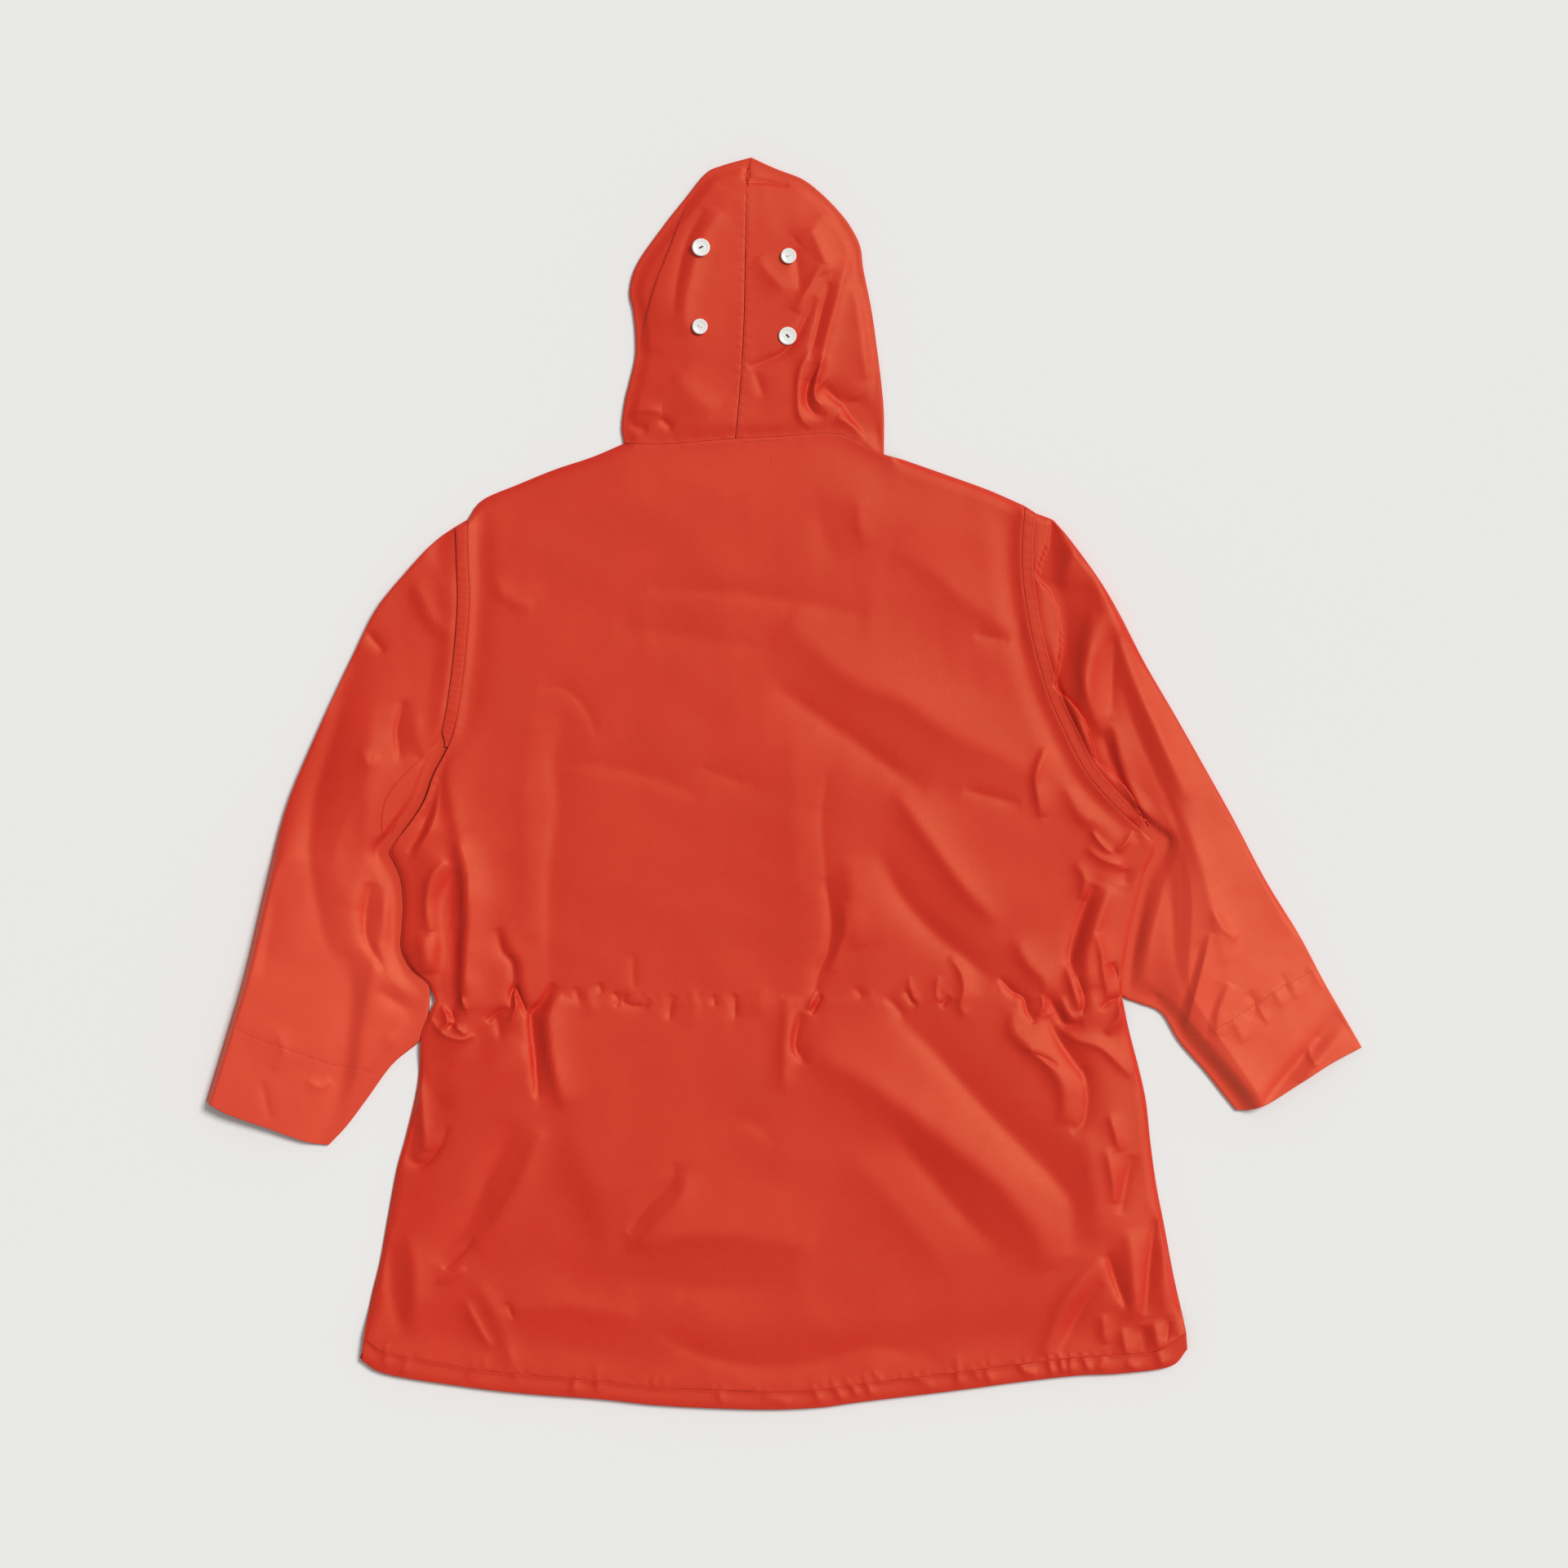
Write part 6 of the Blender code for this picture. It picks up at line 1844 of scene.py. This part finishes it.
@dataclass
class Stitches:
    """Runs of short stitches, laid on the finished cloth."""
    length: float = 2.6
    pitch: float = 3.4
    thick: float = 0.5
    sunk: float = 0.12  # how high its middle lies, as a share of its thickness
    # its second colour is the painted shade between the strands
    thread: Thread = Thread((0.58, 0.035, 0.018, 1.0), (0.40, 0.018, 0.010, 1.0))

    def stitch(self) -> Mesh:
        """Make one stitch.

        Returns:
            Its mesh, lying along x.
        """
        one = bmesh.new()
        bmesh.ops.create_uvsphere(one, u_segments=8, v_segments=5, radius=1.0)
        bmesh.ops.rotate(one, verts=one.verts, matrix=Matrix.Rotation(math.pi / 2, 3, "Y"))
        half_thick = self.thick / 2 * MM
        bmesh.ops.scale(one, verts=one.verts, vec=(self.length / 2 * MM, half_thick, half_thick))
        return mesh_of(one, "stitch")

    def sew(self, name: str, runs: Sequence[Array], cloths: Sequence[Piece]) -> Piece:
        """Lay stitches along runs, on whichever cloth is highest there.

        Args:
            name: The name of the joined piece.
            runs: Paths of x and y.
            cloths: The pieces that the stitches lie on.

        Returns:
            The joined stitches.
        """
        graph = bpy.context.evaluated_depsgraph_get()
        trees = [BVHTree.FromObject(cloth, graph) for cloth in cloths]
        one = self.stitch()
        joined = bmesh.new()
        for run in runs:
            steps = np.linalg.norm(np.diff(run, axis=0), axis=1)
            marks = np.concatenate(([0.0], np.cumsum(steps)))
            for middle in np.arange(self.pitch / 2, marks[-1], self.pitch):
                ends = [Vector((np.interp(mark, marks, run[:, 0]) * MM,
                                np.interp(mark, marks, run[:, 1]) * MM, DROP_HEIGHT))
                        for mark in (middle - 0.5, middle + 0.5)]
                hits = [tree.ray_cast((ends[0] + ends[1]) / 2, Vector((0, 0, -1)))
                        for tree in trees]
                hits = [hit for hit in hits if hit[0] is not None]
                if not hits:
                    continue
                spot, normal = max(hits, key=lambda hit: hit[0].z)[:2]
                way = ends[1] - ends[0]
                way = (way - way.dot(normal) * normal).normalized()
                place = Matrix((way, normal.cross(way), normal)).transposed().to_4x4()
                place.translation = spot + normal * self.sunk * self.thick * MM
                count = len(joined.verts)
                joined.from_mesh(one)
                joined.verts.ensure_lookup_table()
                bmesh.ops.transform(joined, matrix=place, verts=joined.verts[count:])
        mesh = mesh_of(joined, name)
        piece = dressed(name, mesh, self.thread.material(name))
        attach(piece, "root")
        LOG.info("%s: %d faces", name, len(mesh.polygons))
        return piece


@dataclass(frozen=True)
class HoodButton:
    """A dished button with two holes, and the colour of the thread that sews it on."""
    number: int
    diameter: float
    thread: Thread
    turn: float  # of its two holes, in degrees from +Y
    thick: float = 2.6
    rim: float = 1.6
    dish: float = 0.6
    hole: float = 1.3
    apart: float = 3.2
    strands: tuple[float, ...] = (-0.42, 0.0, 0.42, -0.2, 0.2)  # places across the holes
    strand: float = 0.64  # thickness of a strand
    sunk: float = 1.0  # of the strands' ends in the holes
    arch: float = 1.35  # of the strands over their ends

    def seat(self) -> Matrix:
        """Read where the solid button is and which way it faces.

        Returns:
            The matrix from the button's own frame, with its back at z = 0.
        """
        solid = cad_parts[f"hood_button_{self.number}"].data
        points = np.empty(len(solid.vertices) * 3, np.float32)
        solid.vertices.foreach_get("co", points)
        points = points.reshape(-1, 3).astype(float)
        low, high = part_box(f"hood_button_{self.number}")
        middle = (low + high) / 2
        faces = Vector(np.linalg.svd(points - np.array(middle), full_matrices=False)[2][2])
        faces = faces if faces.z > 0 else -faces
        place = faces.to_track_quat("Z", "Y").to_matrix().to_4x4()
        place.translation = middle - faces * self.thick / 2 * MM
        return place @ Matrix.Rotation(math.radians(self.turn), 4, "Z")

    def disc(self) -> Solid:
        """Turn the button from its profile and round its edges.

        Returns:
            The button without its holes, in metres.
        """
        radius, top = self.diameter / 2, self.thick
        profile = ((0.0, top - self.dish), (radius - 2.3 * self.rim, top - self.dish),
                   (radius - 1.7 * self.rim, top - 0.85 * self.dish),
                   (radius - 1.2 * self.rim, top - 0.2), (radius - 0.7 * self.rim, top),
                   (radius - 0.4, top - 0.12), (radius - 0.08, top - 0.5),
                   (radius, top - 1.0), (radius - 0.1, 0.7), (radius - 0.6, 0.1),
                   (radius - 1.1, 0.0), (0.0, 0.0))
        disc = bmesh.new()
        verts = [disc.verts.new((x * MM, 0.0, z * MM)) for x, z in profile]
        edges = [disc.edges.new(pair) for pair in zip(verts, verts[1:])]
        bmesh.ops.spin(disc, geom=verts + edges, cent=(0, 0, 0), axis=(0, 0, 1),
                       angle=2 * math.pi, steps=48, use_merge=True)
        bmesh.ops.remove_doubles(disc, verts=disc.verts, dist=0.000005)
        bmesh.ops.recalc_face_normals(disc, faces=disc.faces)
        return disc

    def drill(self) -> Mesh:
        """Make the two pins that cut the holes.

        Returns:
            Their mesh.
        """
        pins = bmesh.new()
        for end in (-1, 1):
            bmesh.ops.create_cone(
                pins, cap_ends=True, segments=16, radius1=self.hole / 2 * MM,
                radius2=self.hole / 2 * MM, depth=4 * self.thick * MM,
                matrix=Matrix.Translation((0, end * self.apart / 2 * MM, 0)))
        return mesh_of(pins, "pins")

    def build(self) -> list[Piece]:
        """Make the button and the thread through its holes.

        Returns:
            The button and its thread.
        """
        name, place = f"button_{self.number}", self.seat()
        blank, pins = placed("blank", mesh_of(self.disc(), "blank")), placed("pins", self.drill())
        cut = blank.modifiers.new("holes", "BOOLEAN")
        cut.object, cut.operation, cut.solver = pins, "DIFFERENCE", "EXACT"
        graph = bpy.context.evaluated_depsgraph_get()
        drilled = bpy.data.meshes.new_from_object(blank.evaluated_get(graph))
        drilled.name = name
        for thing in (blank, pins):
            bpy.data.objects.remove(thing)
        drilled.transform(place)
        drilled.shade_smooth()
        drilled.set_sharp_from_angle(angle=math.radians(38))
        drilled.materials.clear()
        drilled.materials.append(ButtonPlastic().material(name))
        button = placed(name, drilled)
        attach(button, "root")
        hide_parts(f"hood_button_{self.number}")
        return [button, self.sewing(name, place)]

    def sewing(self, name: str, place: Matrix) -> Piece:
        """Make the strands of thread that run from hole to hole.

        Args:
            name: The button's name.
            place: The button's matrix.

        Returns:
            The joined strands.
        """
        strands = bmesh.new()
        half = self.apart / 2 * MM
        for aside in self.strands:
            ring = bmesh.ops.create_circle(
                strands, segments=8, radius=self.strand / 2 * MM,
                matrix=Matrix.Translation((aside * MM, half, 0)))["verts"]
            edges = list({edge for vert in ring for edge in vert.link_edges})
            bmesh.ops.spin(strands, geom=ring + edges, cent=(aside * MM, 0, 0), axis=(1, 0, 0),
                           angle=math.pi, steps=10)
        low = self.thick - self.dish - self.sunk
        for vert in strands.verts:
            vert.co.z = (low + self.arch * abs(vert.co.z) / half) * MM
        bmesh.ops.recalc_face_normals(strands, faces=strands.faces)
        mesh = mesh_of(strands, name + "_sewing")
        mesh.transform(place)
        piece = dressed(name + "_sewing", mesh, self.thread.material(name + "_sewing"))
        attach(piece, "root")
        return piece


@dataclass
class Studio:
    """The pale table, the soft daylight and the camera straight above."""
    view_width: float = 1.3824  # metres across the picture
    centre: Span = (0.0, -0.0011)
    camera_height: float = 3.6
    table_size: float = 14.0
    table_gap: float = 0.0004  # under the smock, so that their faces don't meet
    sun_from: tuple[float, float, float] = (0.64, 0.42, 1.0)
    sun_strength: float = 2.46
    sun_spread: float = 22.0
    sky: Colour = (1.0, 1.0, 0.99, 1.0)
    sky_strength: float = 0.37

    def build(self) -> None:
        """Put up the table, the light and the camera."""
        scene = bpy.context.scene
        scene.view_settings.view_transform = "Standard"
        top = bmesh.new()
        bmesh.ops.create_grid(top, x_segments=8, y_segments=8, size=self.table_size / 2)
        bmesh.ops.translate(top, verts=top.verts, vec=(0, 0, -self.table_gap))
        mesh = mesh_of(top, "table_top")
        mesh.materials.append(PaleSurface().material("table_top"))
        placed("table_top", mesh)
        sun = bpy.data.lights.new("window_light", "SUN")
        sun.energy, sun.angle = self.sun_strength, math.radians(self.sun_spread)
        light = placed("window_light", sun)
        light.rotation_euler = Vector(self.sun_from).to_track_quat("Z", "Y").to_euler()
        world = bpy.data.worlds.new("soft_room")
        world.use_nodes = True
        join(world.node_tree, world.node_tree.nodes["Background"],
             {"Color": self.sky, "Strength": self.sky_strength})
        scene.world = world
        lens = bpy.data.cameras.new("overhead")
        lens.sensor_width = 36.0
        lens.lens = 36.0 * self.camera_height / self.view_width
        camera = placed("overhead", lens)
        camera.location = (*self.centre, self.camera_height)
        scene.camera = camera


def main() -> None:
    """Build the studio and the smock, piece by piece."""
    logging.basicConfig(level=logging.INFO, format="%(name)s: %(message)s")
    groups = Groups(weave_group(), dye_and_sheen_group())
    Studio().build()
    back = Body(groups).build()[1]
    sleeves = (
        # each sleeve's painted sheen paints a light's highlight into its colour, growing along the
        # sleeve
        Sleeve(groups, Side.LEFT, SLEEVE_OUTER_LEFT, SLEEVE_INNER_LEFT, CUFF_LEFT, ARMHOLE_LEFT,
               SLEEVE_TAIL_LEFT, SIDE_LEFT + SKIRT_LEFT[1:], SLEEVE_FOLDS_LEFT, FLAP_LEDGE,
               band_end=7 / 12, grain=-22.0, flat=(0.42, 0.56), area=0.129,
               band_flat=(0.20, 0.011), band_area=0.0019, edge_folds=CREASED_EDGE_LEFT,
               peak=(0.42, 0.05), swell=10.4, cuff_hem=72.0, lift_end=38.0,
               painted_sheen=PaintedSheen(0.8, (-380, 10), (-440, -200))),
        Sleeve(groups, Side.RIGHT, SLEEVE_OUTER_RIGHT, SLEEVE_INNER_RIGHT, CUFF_RIGHT,
               ARMHOLE_RIGHT, SLEEVE_TAIL_RIGHT, SIDE_RIGHT + SKIRT_RIGHT[1:],
               SLEEVE_FOLDS_RIGHT, PUFF_LEDGE, band_end=10 / 12, grain=28.0,
               flat=(0.42, 0.56), area=0.115, band_flat=(0.31, 0.011), band_area=0.0030,
               edge_folds=CREASED_EDGE_RIGHT, peak=(0.55, 0.8), swell=10.5, cuff_hem=80.0,
               lift_end=-50.0, painted_sheen=PaintedSheen(0.95, (320, 60), (430, -200))))
    cloths = [sleeve.build() for sleeve in sleeves]
    halves = Hood(groups).build()
    back_hem = HemCasing(groups).build()[1]
    bpy.context.view_layer.update()
    stitches = Stitches()
    for sleeve, (_, band) in zip(sleeves, cloths):
        side = sleeve.side.name.lower()
        stitches.sew(f"armhole_stitches_{side}", [sleeve.band_run()], [band])
    hem_run = smooth(tuple((x, y - HEM_STITCHES_DOWN) for x, y in HEM_STITCHING[1:-1]))
    stitches.sew("hem_stitches", [hem_run], [back_hem, back])
    for sleeve, (cloth, _) in zip(sleeves, cloths):
        side = sleeve.side.name.lower()
        stitches.sew(f"cuff_stitches_{side}", [sleeve.cuff_run()], [cloth])
    hood_run = smooth(tuple((x + HOOD_STITCHES_ASIDE, y) for x, y in HOOD_SEAM[:-1]))
    stitches.sew("hood_stitches", [hood_run], halves)
    stitches.sew("neck_stitches", [np.array(run, float) for run in NECK_TACKS], [back])
    # each thread's second colour is the painted shade between its strands
    dark = Thread((0.03, 0.02, 0.012, 1.0), (0.012, 0.008, 0.005, 1.0))
    pale = Thread((0.80, 0.79, 0.76, 1.0), (0.62, 0.60, 0.57, 1.0))
    for button in (HoodButton(1, 15.8, dark, -12.0), HoodButton(2, 13.7, pale, 8.0),
                   HoodButton(3, 13.7, pale, 25.0), HoodButton(4, 15.8, dark, 4.0)):
        pieces = button.build()
        LOG.info("%s and its thread", pieces[0].name)


if __name__ == "__main__":
    main()
